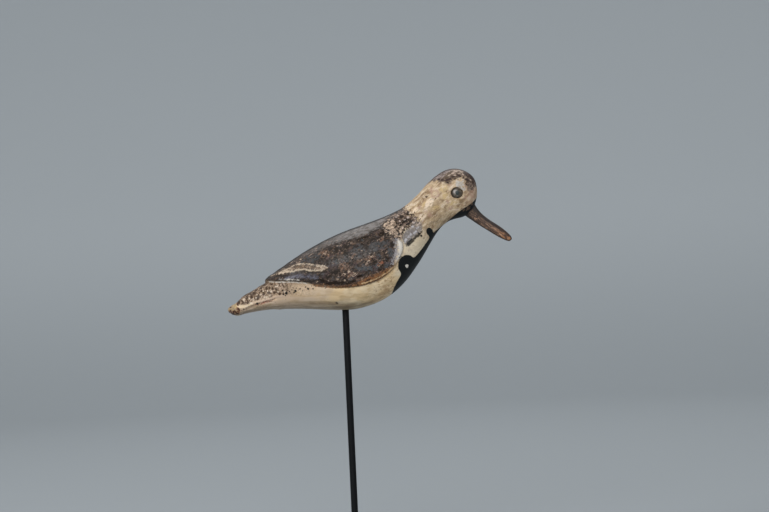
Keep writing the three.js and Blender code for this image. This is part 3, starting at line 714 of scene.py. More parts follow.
def body_skin():
    """The bird's body with its wings in relief, its points and the marks of its paint."""
    ribs = faired(scaled(BODY_RIBS, carve), crowded(BODY_RINGS))
    angles = even_angles(ribs, BODY_SIDES)
    rings = ribs[:, None, :]
    whole, below_back = section_points(rings, angles)
    ground, _ = section_points(rings, angles, *wing_cuts(ribs))
    wing = in_wing(*seen_from_side(whole.reshape(-1, 3))).reshape(whole.shape[:2])
    proud = smooth(*WING_STEP, wing)[..., None]
    grid = ground + (whole - ground) * proud
    tips = np.array([BODY_RIBS[0], BODY_RIBS[-1]], float) * carve
    ends = [((tip[0] + tip[2]) / 2, 0, (tip[1] + tip[3]) / 2) for tip in tips]
    points = np.vstack([grid.reshape(-1, 3), ends])
    marks = side_marks(*seen_from_side(points))
    from_eye = np.hypot(points[:, 0] - eye_x, points[:, 2] - eye_z)
    marks["eye_ring"] = np.hypot(points[:, 0] - eye_x, EYE_RING_SQUASH * (points[:, 2] - eye_z))
    marks["below_back"] = np.r_[below_back.ravel(), 0, 0]
    points += outward(points, BODY_RINGS - 1, BODY_SIDES) * relief(points, marks)[:, None]
    seat = smooth(eye_radius + SEAT_FADE, eye_radius - SEAT_OVERLAP, from_eye)
    side = np.sign(points[:, 1])
    points[:, 1] += (side * np.minimum(np.abs(points[:, 1]), eye_back) - points[:, 1]) * seat
    x, y, z = points.T
    marks["along_tail"] = smooth(-36, -52, x - 0.2 * z) * smooth(0.5, -1, marks["wing"])
    marks["front_edge"] = smooth(-26, -14, x) * smooth(37, 32, z)
    marks["worn_width"] = np.interp(x, *np.array(WORN_WIDTH).T)
    marks["nail_dark"] = marks["nail"] * (y < 0)
    return points, marks


def lifted(points):
    """The bird's own points moved up to where it rests on its rod."""
    return points + np.array([0, 0, bird_base])


def bill_skin(body_tree):
    """The bill, from where it meets the face to its tip, and how far along it each point is."""
    ribs = scaled(BILL_RIBS, BILL_LENGTH / BILL_RIBS[-1][0])
    c = math.cos(BILL_DROOP)
    s = math.sin(BILL_DROOP)
    droop = np.array([[c, 0, -s], [0, 1, 0], [s, 0, c]])
    body = faired(scaled(BODY_RIBS, carve), crowded(BODY_RINGS))
    chin = body[body[:, 0] > eye_x]
    root_z = eye_z - BILL_BELOW_EYE
    root = np.array([np.interp(root_z, chin[:, 3], chin[:, 2]), 0, root_z])
    angles = np.linspace(0, 2 * np.pi, BILL_SIDES, endpoint=False)
    trial = np.linspace(0, BILL_ROOT_SHARE, BILL_ROOT_TRIALS)

    def placed(places):
        points, _ = section_points(faired(ribs, places), angles)
        return points @ droop + root, points[..., 0] / BILL_LENGTH

    lines, _ = placed(np.repeat(trial[:, None], BILL_SIDES, 1))
    starts = []
    for j in range(BILL_SIDES):
        start = 0
        for t, p in zip(trial, lines[:, j]):
            near, normal, _, _ = body_tree.find_nearest(Vector(p))
            if (Vector(p) - near).dot(normal) < -BILL_SINK:
                start = t
        starts.append(start)
    even = np.linspace(0, 1, BILL_RINGS, endpoint=False)[:, None]
    starts = np.array(starts)
    grid, along = placed(starts + (1 - starts) * even)
    tip = np.array([BILL_LENGTH, 0, 0]) @ droop + root
    points = np.vstack([grid.reshape(-1, 3), grid[0].mean(0), tip])
    marks = {
        "along": np.r_[along.ravel(), 0, 1],
        "around": np.r_[np.tile(np.sin(angles), BILL_RINGS), 0, 0],
    }
    return points, marks


def turned_skin(profile, sides):
    """Points and faces of a form turned on the Z axis, from (radius, z) points between two on the axis."""
    rings = np.array(profile[1:-1], float)
    angles = np.linspace(0, 2 * np.pi, sides, endpoint=False)
    points = [[(r * math.cos(a), r * math.sin(a), z) for a in angles] for r, z in rings]
    ends = [(0, 0, profile[0][1]), (0, 0, profile[-1][1])]
    points = np.vstack([np.array(points).reshape(-1, 3), ends])
    return points, [face[::-1] for face in ring_faces(len(rings), sides)]


def turned(name, profile):
    return link(name, *turned_skin(profile, TURNED_SIDES))


def arc(centre_r, centre_z, radius, start, end, steps=6):
    """Points of a rounded edge, with angles in degrees from straight out."""
    angles = np.radians(np.linspace(start, end, steps + 1))
    return [(centre_r + radius * math.cos(a), centre_z + radius * math.sin(a)) for a in angles]


def glass_eye(name, side):
    """A domed eye in its seat, with marks for its rim, its pupil, its iris and the iris's painted highlight.
    """
    rim = eye_top - EYE_DOME
    low = eye_back + EYE_SEAT_GAP
    profile = [(0, low), (eye_radius - EYE_LIP, low), (eye_radius, rim)]
    for i in range(1, DOME_STEPS):
        angle = math.pi / 2 * i / DOME_STEPS
        profile.append((eye_radius * math.cos(angle), rim + EYE_DOME * math.sin(angle)))
    profile.append((0, eye_top))
    points, faces = turned_skin(profile, EYE_SIDES)
    x, z, out = points.T
    marks = {
        "radius": np.hypot(x, z),
        "pupil": np.hypot((x - PUPIL[0]) * PUPIL_SQUASH, z - PUPIL[1]),
        "highlight": np.hypot(x - IRIS_HIGHLIGHT_AT[0], z - IRIS_HIGHLIGHT_AT[1]),
        "behind": -x,
    }
    placed = np.stack([x + eye_x, side * out, z + eye_z + bird_base], -1)
    if side > 0:
        faces = [face[::-1] for face in faces]
    return link(name, placed, faces, marks)


def steel_rod():
    radius = rod_high.x / MM + STEEL_PAINT
    low = rod_low.z / MM
    high = rod_high.z / MM
    edge = ROD_ROUNDING
    beside = edge + FLAT_BESIDE_ROUNDING
    return turned("steel_rod", [
        (0, low), *arc(radius - edge, low + edge, edge, -90, 0), (radius, low + beside),
        (radius, high - beside), *arc(radius - edge, high - edge, edge, 0, 90), (0, high),
    ])


def steel_foot():
    radius = foot_high.x / MM
    top = foot_high.z / MM
    hole = rod_high.x / MM + ROD_CLEARANCE
    seat = rod_low.z / MM - ROD_CLEARANCE
    edge = FOOT_ROUNDING
    lip = SEAT_ROUNDING
    beside = edge + FLAT_BESIDE_ROUNDING
    return turned("steel_foot", [
        (0, 0), (radius - beside, 0), *arc(radius - edge, edge, edge, -90, 0),
        *arc(radius - edge, top - edge, edge, 0, 90), (radius - beside, top), (radius / 2, top),
        (hole + FLAT_BESIDE_ROUNDING, top), *arc(hole + lip, top - lip, lip, 90, 180, 4),
        (hole, seat + FLAT_BESIDE_ROUNDING / 2), (hole, seat), (0, seat),
    ])


# Shader maths. The Mix node's sockets for colours are given by their numbers.
MIX_SHARE = 0
MIX_BELOW = 6
MIX_ABOVE = 7
MIX_COLOUR = 2
# The slant of the wing's feathers and of the neck, and how far a cloud tears at a blot's rim.
GRAIN_SLANT = math.radians(35)
RAGGED_RIM = 6


class Wire:
    """A value, colour or vector between a finish's nodes. Arithmetic on values adds Math nodes."""

    def __init__(self, finish, socket):
        self.finish = finish
        self.socket = socket

    def math(self, operation, first, second):
        return self.finish.node("ShaderNodeMath", {"operation": operation}, {0: first, 1: second})

    def __add__(self, other):
        return self.math("ADD", self, other)

    __radd__ = __add__

    def __sub__(self, other):
        return self.math("SUBTRACT", self, other)

    def __rsub__(self, other):
        return self.math("SUBTRACT", other, self)

    def __mul__(self, other):
        return self.math("MULTIPLY", self, other)

    __rmul__ = __mul__


class Finish:
    """A material and its nodes, with its textures placed in the piece's own millimetres."""

    def __init__(self, name, slant=GRAIN_SLANT):
        self.material = bpy.data.materials.new(name)
        self.material.use_nodes = True
        self.tree = self.material.node_tree
        self.tree.nodes.clear()
        spot = self.node("ShaderNodeTexCoord", output="Object")
        self.place = self.node("ShaderNodeVectorMath", {"operation": "SCALE"}, {0: spot, "Scale": 1 / MM})
        self.slanted = self.node("ShaderNodeVectorRotate", {"rotation_type": "Y_AXIS"},
                                 {"Vector": self.place, "Angle": slant})

    def node(self, kind, settings=None, values=None, output=0):
        made = self.tree.nodes.new(kind)
        for key, setting in (settings or {}).items():
            setattr(made, key, setting)
        for key, value in (values or {}).items():
            if isinstance(value, Wire):
                self.tree.links.new(value.socket, made.inputs[key])
            else:
                made.inputs[key].default_value = value
        return Wire(self, made.outputs[output])

    def mark(self, name):
        return self.node("ShaderNodeAttribute", {"attribute_name": name}, output="Fac")

    def noise(self, size, shift=0, long=1, deep=1, tall=1, detail=3, rough=0.5, warp=0, base=None):
        """A random cloud from 0 to 1, with lumps of a size in mm drawn out along x, y and z."""
        place = self.node("ShaderNodeVectorMath", {"operation": "MULTIPLY_ADD"}, {
            0: base or self.place,
            1: (1 / (size * long), 1 / (size * deep), 1 / (size * tall)),
            2: (shift, shift, shift),
        })
        return self.node("ShaderNodeTexNoise", None, {
            "Vector": place, "Scale": 1, "Detail": detail, "Roughness": rough, "Distortion": warp,
        })

    def grain(self, size, shift, long, **looks):
        """A cloud drawn out along the piece's slanted grain."""
        return self.noise(size, shift, long, base=self.slanted, **looks)

    def step(self, value, low, high):
        """A soft step from 0 at low to 1 at high."""
        return self.node("ShaderNodeMapRange", {"interpolation_type": "SMOOTHSTEP"},
                         {"Value": value, "From Min": low, "From Max": high})

    def ragged(self, name, cloud, spread):
        """A mark with a ragged edge, as a cloud shifts it by up to half the spread."""
        return self.mark(name) + spread * (cloud - 0.5)

    def stained(self, name, cloud):
        """Listed blots of a mark with ragged rims."""
        return self.mark(name) * (1 + RAGGED_RIM * (cloud - 0.5))

    def mix(self, share, below, above):
        return self.node("ShaderNodeMix", {"data_type": "RGBA"},
                         {MIX_SHARE: share, MIX_BELOW: below, MIX_ABOVE: above}, MIX_COLOUR)

    def coats(self, colour, *layers):
        """A colour under coats of paint. Each coat is its paint, a value, the low and high of a soft step
        over that value, and any strengths that multiply the step."""
        for paint, value, low, high, *strengths in layers:
            share = self.step(value, low, high)
            for strength in strengths:
                share = share * strength
            colour = self.mix(share, colour, paint)
        return colour

    def bumped(self, height, depth):
        return self.node("ShaderNodeBump", None, {"Height": height, "Distance": depth * MM})

    def surface(self, colour, roughness, normal=None, **constants):
        values = {"Base Color": colour, "Roughness": roughness}
        if normal is not None:
            values["Normal"] = normal
        values.update({key.replace("_", " "): value for key, value in constants.items()})
        shader = self.node("ShaderNodeBsdfPrincipled", None, values)
        out = self.tree.nodes.new("ShaderNodeOutputMaterial")
        self.tree.links.new(shader.socket, out.inputs["Surface"])
        return self.material


def tone(red, green, blue):
    """A colour given as it looks on a screen, 0 to 255."""
    def linear(level):
        level /= 255
        return level / 12.92 if level <= 0.04045 else ((level + 0.055) / 1.055) ** 2.4
    return (linear(red), linear(green), linear(blue), 1)


# Paints, wood, glass and steel
CREAM = tone(233, 204, 160)
CREAM_LIGHT = tone(238, 215, 179)
CREAM_TAN = tone(196, 164, 120)
BREAST_CREAM = tone(222, 214, 196)
# Painted shade on the cream under the belly.
PAINTED_SHADE_CREAM = tone(116, 100, 80)
CREAM_ROSE = tone(198, 174, 154)
TAN = tone(190, 165, 132)
TAN_LIGHT = tone(214, 194, 168)
NECK_PALE = tone(234, 212, 186)
TAN_DEEP = tone(150, 124, 96)
TAN_ORANGE = tone(166, 124, 88)
TAN_YELLOW = tone(206, 178, 124)
TAN_PINK = tone(178, 142, 126)
TAN_GREY = tone(140, 124, 108)
OLIVE = tone(126, 104, 76)
FRECKLE = tone(92, 70, 52)
SOOT = tone(52, 44, 38)
INK = tone(16, 17, 18)
BIB_BLACK = tone(26, 28, 29)
UMBER = tone(78, 66, 58)
UMBER_DEEP = tone(44, 37, 32)
WARM_BLACK = tone(30, 19, 9)
CAP_BROWN = tone(56, 42, 39)
# Lilac-grey of worn paint and painted sheen on the crown.
CAP_LILAC_SHEEN = tone(134, 122, 122)
CAP_ROSE = tone(140, 122, 114)
CAP_PALE = tone(186, 167, 152)
PLUM = tone(84, 68, 68)
NAPE_BROWN = tone(120, 100, 86)
SLATE = tone(80, 83, 86)
# Lighter blue on the wing tip's lobe: bluish paint with a painted sheen.
LOBE_BLUE_SHEEN = tone(108, 107, 118)
LOBE_DIM = tone(60, 58, 66)
BROWN = tone(108, 86, 70)
MAUVE = tone(138, 116, 106)
RUST = tone(130, 92, 70)
RED_LEAD = tone(150, 92, 68)
ORANGE = tone(176, 128, 82)
EDGE_CREAM = tone(216, 184, 140)
EDGE_BROWN = tone(144, 98, 62)
FLECK = tone(186, 164, 140)
STROKE_PALE = tone(200, 181, 158)
STROKE_BROWN = tone(118, 98, 80)
STROKE_ROSE = tone(172, 152, 134)
# Greys of the painted sheen along the back; the lighter one also greys the band behind the bib.
GREY_AND_SHEEN = tone(124, 119, 117)
SHEEN_DIM = tone(92, 86, 82)
BARE_WOOD = tone(188, 162, 118)
STAIN = tone(62, 42, 30)
PATCH_DIM = tone(132, 114, 96)
BAND_DIM = tone(120, 114, 114)
# Painted highlights on the grey band.
BAND_HIGHLIGHT = tone(202, 199, 203)
NAPE_PALE = tone(212, 194, 184)
LILAC = tone(166, 161, 162)
# Painted shade beside the shoulder's crescent.
ROLL_SHADE_GREY = tone(96, 92, 92)
CHALK = tone(228, 221, 210)
# Pale paint and painted highlight over the eye.
CHALK_HIGHLIGHT_GREY = tone(198, 200, 200)
TAIL_BROWN = tone(128, 106, 84)
TAIL_PALE = tone(222, 204, 182)
TAIL_DARK = tone(60, 42, 28)
CREASE_ROSE = tone(148, 88, 70)
BILL_BROWN = tone(94, 74, 62)
BILL_TAN = tone(146, 115, 94)
BILL_ORANGE = tone(174, 122, 84)
BILL_STREAK = tone(58, 44, 38)
BILL_PALE = tone(182, 146, 118)
BILL_TOP = tone(44, 41, 42)
BILL_LOW = tone(38, 30, 26)
BILL_ROOT = tone(52, 44, 37)
BILL_END = tone(60, 46, 38)
IRIS = tone(72, 65, 56)
IRIS_GREY = tone(108, 99, 88)
# Painted highlight on the iris.
IRIS_HIGHLIGHT = tone(166, 158, 152)
IRIS_DARK = tone(60, 50, 38)
PUPIL_DARK = tone(42, 50, 48)
EYE_RIM = tone(104, 92, 72)
EYE_RIM_DARK = tone(54, 46, 37)
STEEL = tone(8, 10, 13)
STEEL_WORN = tone(34, 34, 38)
WALL_GREY = tone(178, 185, 190)
FLOOR_GREY = tone(156, 163, 168)


def belly_cream(f):
    """Aged cream oil paint on the belly and flanks, brushed along the grain, with painted shade underneath.
    """
    drift = f.noise(11)
    brushed = f.noise(2, 19, 6, rough=0.6)
    streak = f.noise(3, 51, 6, 1.5)
    speckled = f.noise(1.8, 27, 1.6, rough=0.65)
    forward = f.mark("forward")
    front = f.step(forward + 20 * (drift - 0.5), 12, 30)
    low = f.mark("height") - 14 * (streak - 0.5) - 5 * (speckled - 0.5)
    return f.coats(
        CREAM,
        (CREAM_LIGHT, drift, 0.4, 0.62),
        (CREAM_TAN, brushed, 0.5, 0.66, 0.35),
        (CREAM_TAN, f.noise(6, 23, 2, detail=4), 0.48, 0.62, 0.5),
        (TAN_ORANGE, speckled, 0.55, 0.62, front, 0.6),
        (CREAM_ROSE, forward - 30 * drift, -10, -46, 0.66),
        (CREAM_TAN, streak, 0.52, 0.64, 0.4),
        # Painted shade: darker towards the underside, less so at the front.
        (PAINTED_SHADE_CREAM, low, 10, -1, 0.85 - 0.25 * front),
        (TAN_ORANGE, f.stained("breast_stains", streak), 0.1, 0.9, 0.4),
    )


def neck_tan(f):
    """Yellowed, mottled tan on the neck and head, rubbed along the neck."""
    cloud = f.grain(3.8, 7, 2, detail=4, rough=0.6, warp=0.5)
    fine = f.grain(1.5, 9, 2.6, rough=0.62, warp=0.6)
    crumb = f.grain(1.8, 43, 1.5, rough=0.65, warp=0.7)
    lights = f.stained("neck_lights", fine)
    return f.coats(
        TAN_DEEP,
        (TAN, cloud, 0.38, 0.52),
        (TAN_LIGHT, cloud, 0.52, 0.64),
        (TAN_YELLOW, f.stained("head_yellows", crumb), 0.1, 1, 0.65),
        (NECK_PALE, lights, 0, 0.7, 0.75),
        (TAN_PINK, f.stained("head_pinks", crumb), 0.25, 0.75, 0.6),
        (OLIVE, f.stained("head_browns", crumb), 0.25, 0.75, 0.55),
        (TAN_GREY, crumb, 0.55, 0.63, 0.4),
        (TAN_LIGHT, fine, 0.55, 0.63, 0.65),
        (OLIVE, fine, 0.42, 0.34, 0.45),
        (NECK_PALE, lights, 0.1, 0.9, 0.4),
        (TAN_PINK, f.ragged("forward", cloud, 10), 92, 102, 0.3),
    )


def cream_ground(f):
    """Cream that turns to tan from the breast to the neck."""
    cloud = f.noise(7, 3, detail=4)
    return f.coats(
        belly_cream(f),
        (BREAST_CREAM, f.ragged("forward", cloud, 12), 36, 46, 0.5),
        (neck_tan(f), f.ragged("to_head", cloud, 14), 6, 20),
    )


def head_marks(f, colour):
    """The worn cap with a painted sheen at its back, the chalky place over the eye with a painted
    highlight, the ring on the cheek and the dark rim of the eye.
    """
    fine = f.grain(1.6, 61, 1.7, rough=0.65, warp=0.8)
    wide = f.noise(2.8, 67, detail=4)
    rubbed = f.step(fine, 0.44, 0.54)
    cap = f.ragged("cap", fine, 9)
    crown = f.step(f.ragged("below_back", fine, 5), 2, 0.6)
    worn = f.coats(
        CAP_BROWN,
        (UMBER, fine, 0.42, 0.52),
        (CAP_ROSE, f.noise(1.7, 63, rough=0.65, warp=0.6), 0.53, 0.6, 0.8),
        # Lilac-grey at the back of the crown: worn paint and painted sheen.
        (CAP_LILAC_SHEEN, f.ragged("cap_slate_sheen", wide, 1.2), 0.1, 0.5, rubbed),
        (CAP_PALE, f.ragged("cap_lights", fine, 3), 0.3, 0.6, 0.9),
    )
    return f.coats(
        colour,
        # Pale paint over the eye, partly a painted highlight.
        (CHALK_HIGHLIGHT_GREY, f.stained("head_chalk_highlight", wide), 0.05, 0.7, 0.35 + 0.3 * rubbed),
        (worn, cap, -1.2, 1, 0.88),
        (CAP_BROWN, cap, -1.2, 1, crown, 0.8),
        (CAP_BROWN, f.stained("cap_darks", fine), 0.15, 0.4, 0.9),
        (TAN_PINK, f.ragged("cheek", fine, 3), 1, 0.2, 0.5),
        (SOOT, f.ragged("eye_ring", wide, 2.6), 5.2, 4.2, 0.85),
    )


def freckles(f, colour):
    """Small brown specks on the neck and tail, and black dots."""
    speck = f.noise(1.1, 71, rough=0.6, warp=0.5)
    to_head = f.mark("to_head")
    place = 0.5 * f.step(to_head, 2, 10) + 0.6 * f.mark("along_tail")
    dark = f.coats(INK, (FRECKLE, to_head, 14, 20, 0.9))
    return f.coats(
        colour,
        (FRECKLE, f.noise(1.3, 77), 0.64, 0.7, place),
        (dark, f.ragged("dots", speck, 1.6), -0.3, 0.05, 0.96),
    )


def tail_marks(f, colour):
    """Brown mottling over the tail, painted shade under the wing's tip, the red-brown crease along the tail
    and the bare, stained tip.
    """
    fine = f.noise(1.1, 81, rough=0.6)
    hatch = f.noise(2.3, 83, 0.8, tall=1.5, rough=0.6, warp=0.8)
    crumb = f.noise(1.5, 87, rough=0.65, warp=0.6)
    tail = f.mark("along_tail")
    forward = f.mark("forward")
    above = f.mark("above_crease")
    flank = f.step(forward, -18, -34) * f.step(above, 0, 3) * f.step(f.mark("wing"), 0.3, -0.3)
    shade_under_wing = f.step(forward, -22, -40) * flank
    upper = tail * f.step(f.ragged("above_crease", hatch, 5), 1.4, 3.6)
    near_back = 0.06 * f.step(f.ragged("below_back", hatch, -6), 6.5, 0.5)
    pale = f.coats(CREAM_ROSE, (CREAM_LIGHT, f.ragged("forward", crumb, 20), -66, -74))
    rosy = f.step(f.ragged("forward", fine, 6), -72, -65)
    crease = f.mix(rosy, TAIL_DARK, f.coats(STAIN, (CREASE_ROSE, fine, 0.42, 0.52)))
    rear = f.step(f.ragged("forward", fine, 8), -52, -58) * f.step(crumb, 0.38, 0.48)
    wood = f.coats(BARE_WOOD, (TAN_GREY, f.noise(1, 91, 5), 0.42, 0.6))
    stains = f.stained("tail_stains", crumb)
    return f.coats(
        colour,
        (TAN_DEEP, crumb, 0.48, 0.58, flank, 0.5),
        (CREAM_LIGHT, fine, 0.55, 0.62, flank, 0.5),
        # Painted shade in a band just under the wing's tip.
        (TAIL_BROWN, f.ragged("wing", crumb, -4), -4.4, -0.8, shade_under_wing, 0.65),
        (TAIL_BROWN, f.ragged("above_crease", hatch, 5), 1.4, 3.6, tail, 0.85),
        (CREAM_ROSE, crumb, 0.5, 0.6, tail, 0.55),
        (TAIL_DARK, crumb - near_back, 0.47, 0.41, upper, 0.75),
        (TAIL_DARK, hatch + near_back, 0.56, 0.61, upper, 0.8),
        (CREAM_ROSE, fine, 0.6, 0.66, upper, 0.6),
        (pale, f.ragged("above_crease", crumb, 3), 3.2, 1.6, f.step(above, 0.2, 0.9), tail, 0.65),
        (TAIL_DARK, f.stained("tail_darks", crumb), 0.1, 0.35, 0.9),
        (TAIL_PALE, f.stained("tail_lights", fine), 0.35, 0.65, 0.7),
        (crease, f.ragged("crease", fine, 1.6), 1.2, 0.4, rear, 0.6 + 0.3 * rosy),
        (wood, f.ragged("bare_tip", fine, 1.6), -0.1, 0.4),
        (RUST, stains, 0.1, 0.3),
        (STAIN, stains, 0.35, 0.65),
    )


def wing_paint(f, colour):
    """Dark brown, slate and plum paint on the back and wings, worn to rust-brown and tan flecks, with a
    painted sheen along the top of the back.
    """
    flake = f.grain(1.3, 103, 1.7, detail=2, rough=0.6, warp=0.7)
    lumps = f.grain(3.2, 107, 1.5, detail=4, rough=0.6, warp=0.4)
    crumb = f.noise(1.7, 127, rough=0.65, warp=0.8)
    rust = f.mark("rust")
    slate = f.mark("slate")
    forward = f.mark("forward")
    nape = f.step(f.mark("to_head"), 4, 12)
    upper = f.step(f.mark("height") - 0.5 * forward, 26, 34)
    shade = 1 - 0.35 * upper
    blue = 0.24 * slate - 0.2 * nape + f.noise(3.4, 113, detail=4, rough=0.65)
    plum = 0.2 * f.mark("plum") - 0.1 * nape + f.noise(3.8, 117, detail=4, rough=0.65)
    brown = 0.15 * rust + f.noise(2.4, 119, detail=4, rough=0.65)
    rusty = 0.1 * rust + f.noise(1.8, 123, rough=0.65)
    wear = flake + 0.03 * rust - 0.08 * slate + 0.13 * f.mark("flecks") + 0.08 * nape - 0.04 * upper - 0.015
    # A streaked grey painted sheen along the top of the back.
    painted_sheen = f.coats(SHEEN_DIM, (GREY_AND_SHEEN, f.grain(2.2, 109, 2, rough=0.6), 0.4, 0.56))
    paint = f.coats(
        UMBER_DEEP,
        (UMBER, lumps - 0.06 * upper, 0.42, 0.56),
        (SLATE, blue, 0.56, 0.64, 0.85, shade),
        (PLUM, plum, 0.56, 0.63, 0.8, shade),
        (NAPE_BROWN, lumps, 0.46, 0.56, nape, 0.7),
        (BROWN, brown, 0.58, 0.64, 0.75),
        (RUST, rusty, 0.6, 0.66, rust, 0.7),
        (MAUVE, wear, 0.56, 0.62, 0.6),
        (FLECK, wear, 0.64, 0.69, 0.85),
        (TAN_LIGHT, wear, 0.71, 0.75, 0.9),
        (UMBER_DEEP, flake, 0.44, 0.38, 0.85),
        (WARM_BLACK, f.stained("nape_darks", flake), 0.2, 0.55, 0.85),
        (WARM_BLACK, f.stained("black", flake), 0.12, 0.4, 0.95),
        (RED_LEAD, f.stained("orange", flake), 0.35, 0.7, 0.75),
        # The painted sheen along the top of the back, and a near-black line on its very top.
        (painted_sheen, f.ragged("back_sheen", flake, 7), -0.6, 1.2, 0.2 + 0.8 * f.step(forward, -30, 14), 0.85),
        (INK, f.ragged("below_back", flake, 1.6), 1.5, 0.7, 0.85),
    )
    loose = (4 + 20 * nape) * (crumb - 0.5)
    return f.coats(colour, (paint, f.mark("dark") + 3.5 * f.mark("nape_blots") * nape - loose, -0.7, 0.7))


def wing_wear(f, colour):
    """The worn, stained band along the wing's lower edge, its light line and the rust fringe under it,
    partly darkened as painted shadow of the groove.
    """
    fine = f.grain(1.4, 111, 2, rough=0.62, warp=0.5)
    crumb = f.noise(1.5, 115, rough=0.65, warp=0.6)
    worn = f.step(f.mark("wing") - f.mark("worn_width") + 7 * (fine - 0.5), 0.7, -0.7)
    stained = f.coats(STAIN, (EDGE_BROWN, fine, 0.42, 0.54), (ORANGE, crumb, 0.54, 0.63, 0.8))
    browned = f.coats(STAIN, (EDGE_BROWN, crumb, 0.46, 0.55), (ORANGE, crumb, 0.58, 0.66, 0.6))
    light = f.coats(ORANGE, (EDGE_CREAM, crumb, 0.38, 0.48))
    return f.coats(
        colour,
        (stained, f.ragged("wing", fine, 3), 0, 0.6, worn, f.mark("front_edge"), 0.75),
        # Rust fringe under the light line, partly painted shadow of the groove.
        (browned, f.ragged("edge_rust_and_shadow", fine, 2.4), -0.2, 0.5, 0.85),
        (light, f.ragged("edge_light", fine, 2.2), -0.3, 0.3, 0.9),
    )


def shoulder_marks(f, colour):
    """Cream showing through on the shoulder, the crescent on its roll, white with a painted highlight and
    painted shade beside it, and the grey band behind the bib with its painted highlights.
    """
    crumb = f.noise(1.7, 121, rough=0.65, warp=0.9)
    fine = f.noise(1.3, 125, rough=0.62, warp=0.5)
    coarse = f.noise(2.2, 129, rough=0.6, warp=0.3)
    patch = 0.2 * f.step(f.mark("patch"), -3, 1.5) + 0.14 * f.mark("patch_lights") + coarse
    cream = f.coats(PATCH_DIM, (CREAM_ROSE, fine, 0.4, 0.54), (CREAM_LIGHT, fine, 0.56, 0.64, 0.8))
    shaded = f.coats(ROLL_SHADE_GREY, (LILAC, crumb, 0.4, 0.58))
    # The crescent: white paint brightened as a painted highlight, over lilac painted shade at its rim.
    roll = f.coats(
        LILAC,
        (CHALK, f.ragged("crescent", fine, 3), 0, 1),
        (CREAM_TAN, f.ragged("height", fine, 6), 38, 33, 0.6),
    )
    thin = f.step(f.ragged("height", coarse, 14), 58, 65)
    grey = f.coats(
        BAND_DIM,
        (GREY_AND_SHEEN, coarse, 0.42, 0.56),
        (PLUM, crumb, 0.42, 0.34, 0.7),
        (LILAC, fine, 0.53, 0.63, 0.5),
    )
    return f.coats(
        colour,
        (cream, patch, 0.63, 0.78, 0.92),
        # Painted shade on the roll behind the crescent.
        (shaded, f.ragged("roll_shade", crumb, 7), -0.9, 0.9, 0.85),
        (roll, f.ragged("crescent", crumb, 4), -0.7, 1, 0.95),
        (grey, f.ragged("band", crumb, 6), -1, 0.6, 1 - 0.5 * thin, 0.92),
        # Painted highlights on the grey band.
        (BAND_HIGHLIGHT, f.stained("band_highlights", fine), 0.1, 1.1, 0.85),
        (NAPE_PALE, f.stained("nape_lights", fine), 0.25, 1, 0.7),
        (INK, f.ragged("band_line", crumb, 3.6), -0.5, 0.4, 0.9),
    )


def feather_strokes(f, colour):
    """Pale, white, tan and dark strokes of the long feathers on the wing's tip, with a painted sheen on the
    bluish lobe and painted shadow under the tip's lower edge.
    """
    fine = f.grain(1.4, 131, 1.8, rough=0.65, warp=0.6)
    hatch = f.grain(1.3, 133, 0.7, tall=1.6, rough=0.6)
    rear = f.step(f.ragged("forward", fine, 10), -34, -42)
    rear += 0.4 * f.step(f.ragged("forward", fine, 6), -23, -19)
    # The bluish lobe with a painted sheen.
    lobe = f.coats(LOBE_DIM, (LOBE_BLUE_SHEEN, fine, 0.42, 0.56))
    brown = f.coats(
        UMBER,
        (STROKE_BROWN, hatch, 0.38, 0.5),
        (FLECK, hatch, 0.58, 0.66),
        (STROKE_ROSE, hatch, 0.4, 0.5, rear, 0.75),
    )
    return f.coats(
        colour,
        (lobe, f.ragged("lobe_strokes", fine, 4), -1, 1.6, 0.75),
        (brown, f.ragged("tan_strokes", fine, 8), -0.5, 1, 0.85),
        # Dark strokes; the one along the tip's lower edge is painted shadow of its groove.
        (UMBER_DEEP, f.ragged("dark_and_shadow_strokes", fine, 4), -0.4, 0.6, 0.75),
        (STROKE_PALE, f.ragged("pale_strokes", fine, 3.6), -0.5, 0.6, 0.88),
        (CHALK, f.ragged("grey_strokes", fine, 2), -0.4, 0.3, 0.75),
        (CHALK, f.ragged("white_strokes", fine, 2.4), -0.5, 0.6, 0.7),
    )


def black_bib(f, colour):
    """The crisp black bib with its ringed spot and a worn place under the bill."""
    fine = f.noise(1.4, 141, detail=4)
    black = f.coats(
        BIB_BLACK,
        (SOOT, f.noise(1, 143, detail=4), 0.62, 0.72, 0.4),
        (BROWN, f.stained("chin_stains", fine), 0.3, 0.8, 0.7),
    )
    return f.coats(
        colour,
        (black, f.ragged("bib", fine, 0.5), -0.12, 0.15),
        (CHALK, f.ragged("spot", fine, 0.6), -0.1, 0.25),
    )


BIRD_LAYERS = (
    head_marks, tail_marks, wing_paint, wing_wear, feather_strokes, shoulder_marks, freckles, black_bib,
)


def bird_paint():
    """All the bird's paint, layer by layer, with a patchy gloss outside the duller bib."""
    f = Finish("old_oil_paint")
    colour = cream_ground(f)
    for layer in BIRD_LAYERS:
        colour = layer(f, colour)
    colour = f.mix(f.mark("nail_dark"), colour, SOOT)
    brushed = f.noise(1.1, 151, 6)
    pitted = f.noise(0.9, 153)
    gloss = 0.3 * f.step(f.mark("bib"), 0.2, -0.4) * f.step(f.noise(1.8, 157, rough=0.65), 0.4, 0.6)
    normal = f.bumped(brushed * 0.5 + pitted * 0.5, 0.14)
    return f.surface(colour, 0.42 + 0.2 * pitted, normal, Specular_IOR_Level=0.12, Coat_Weight=gloss,
                     Coat_Roughness=0.26)


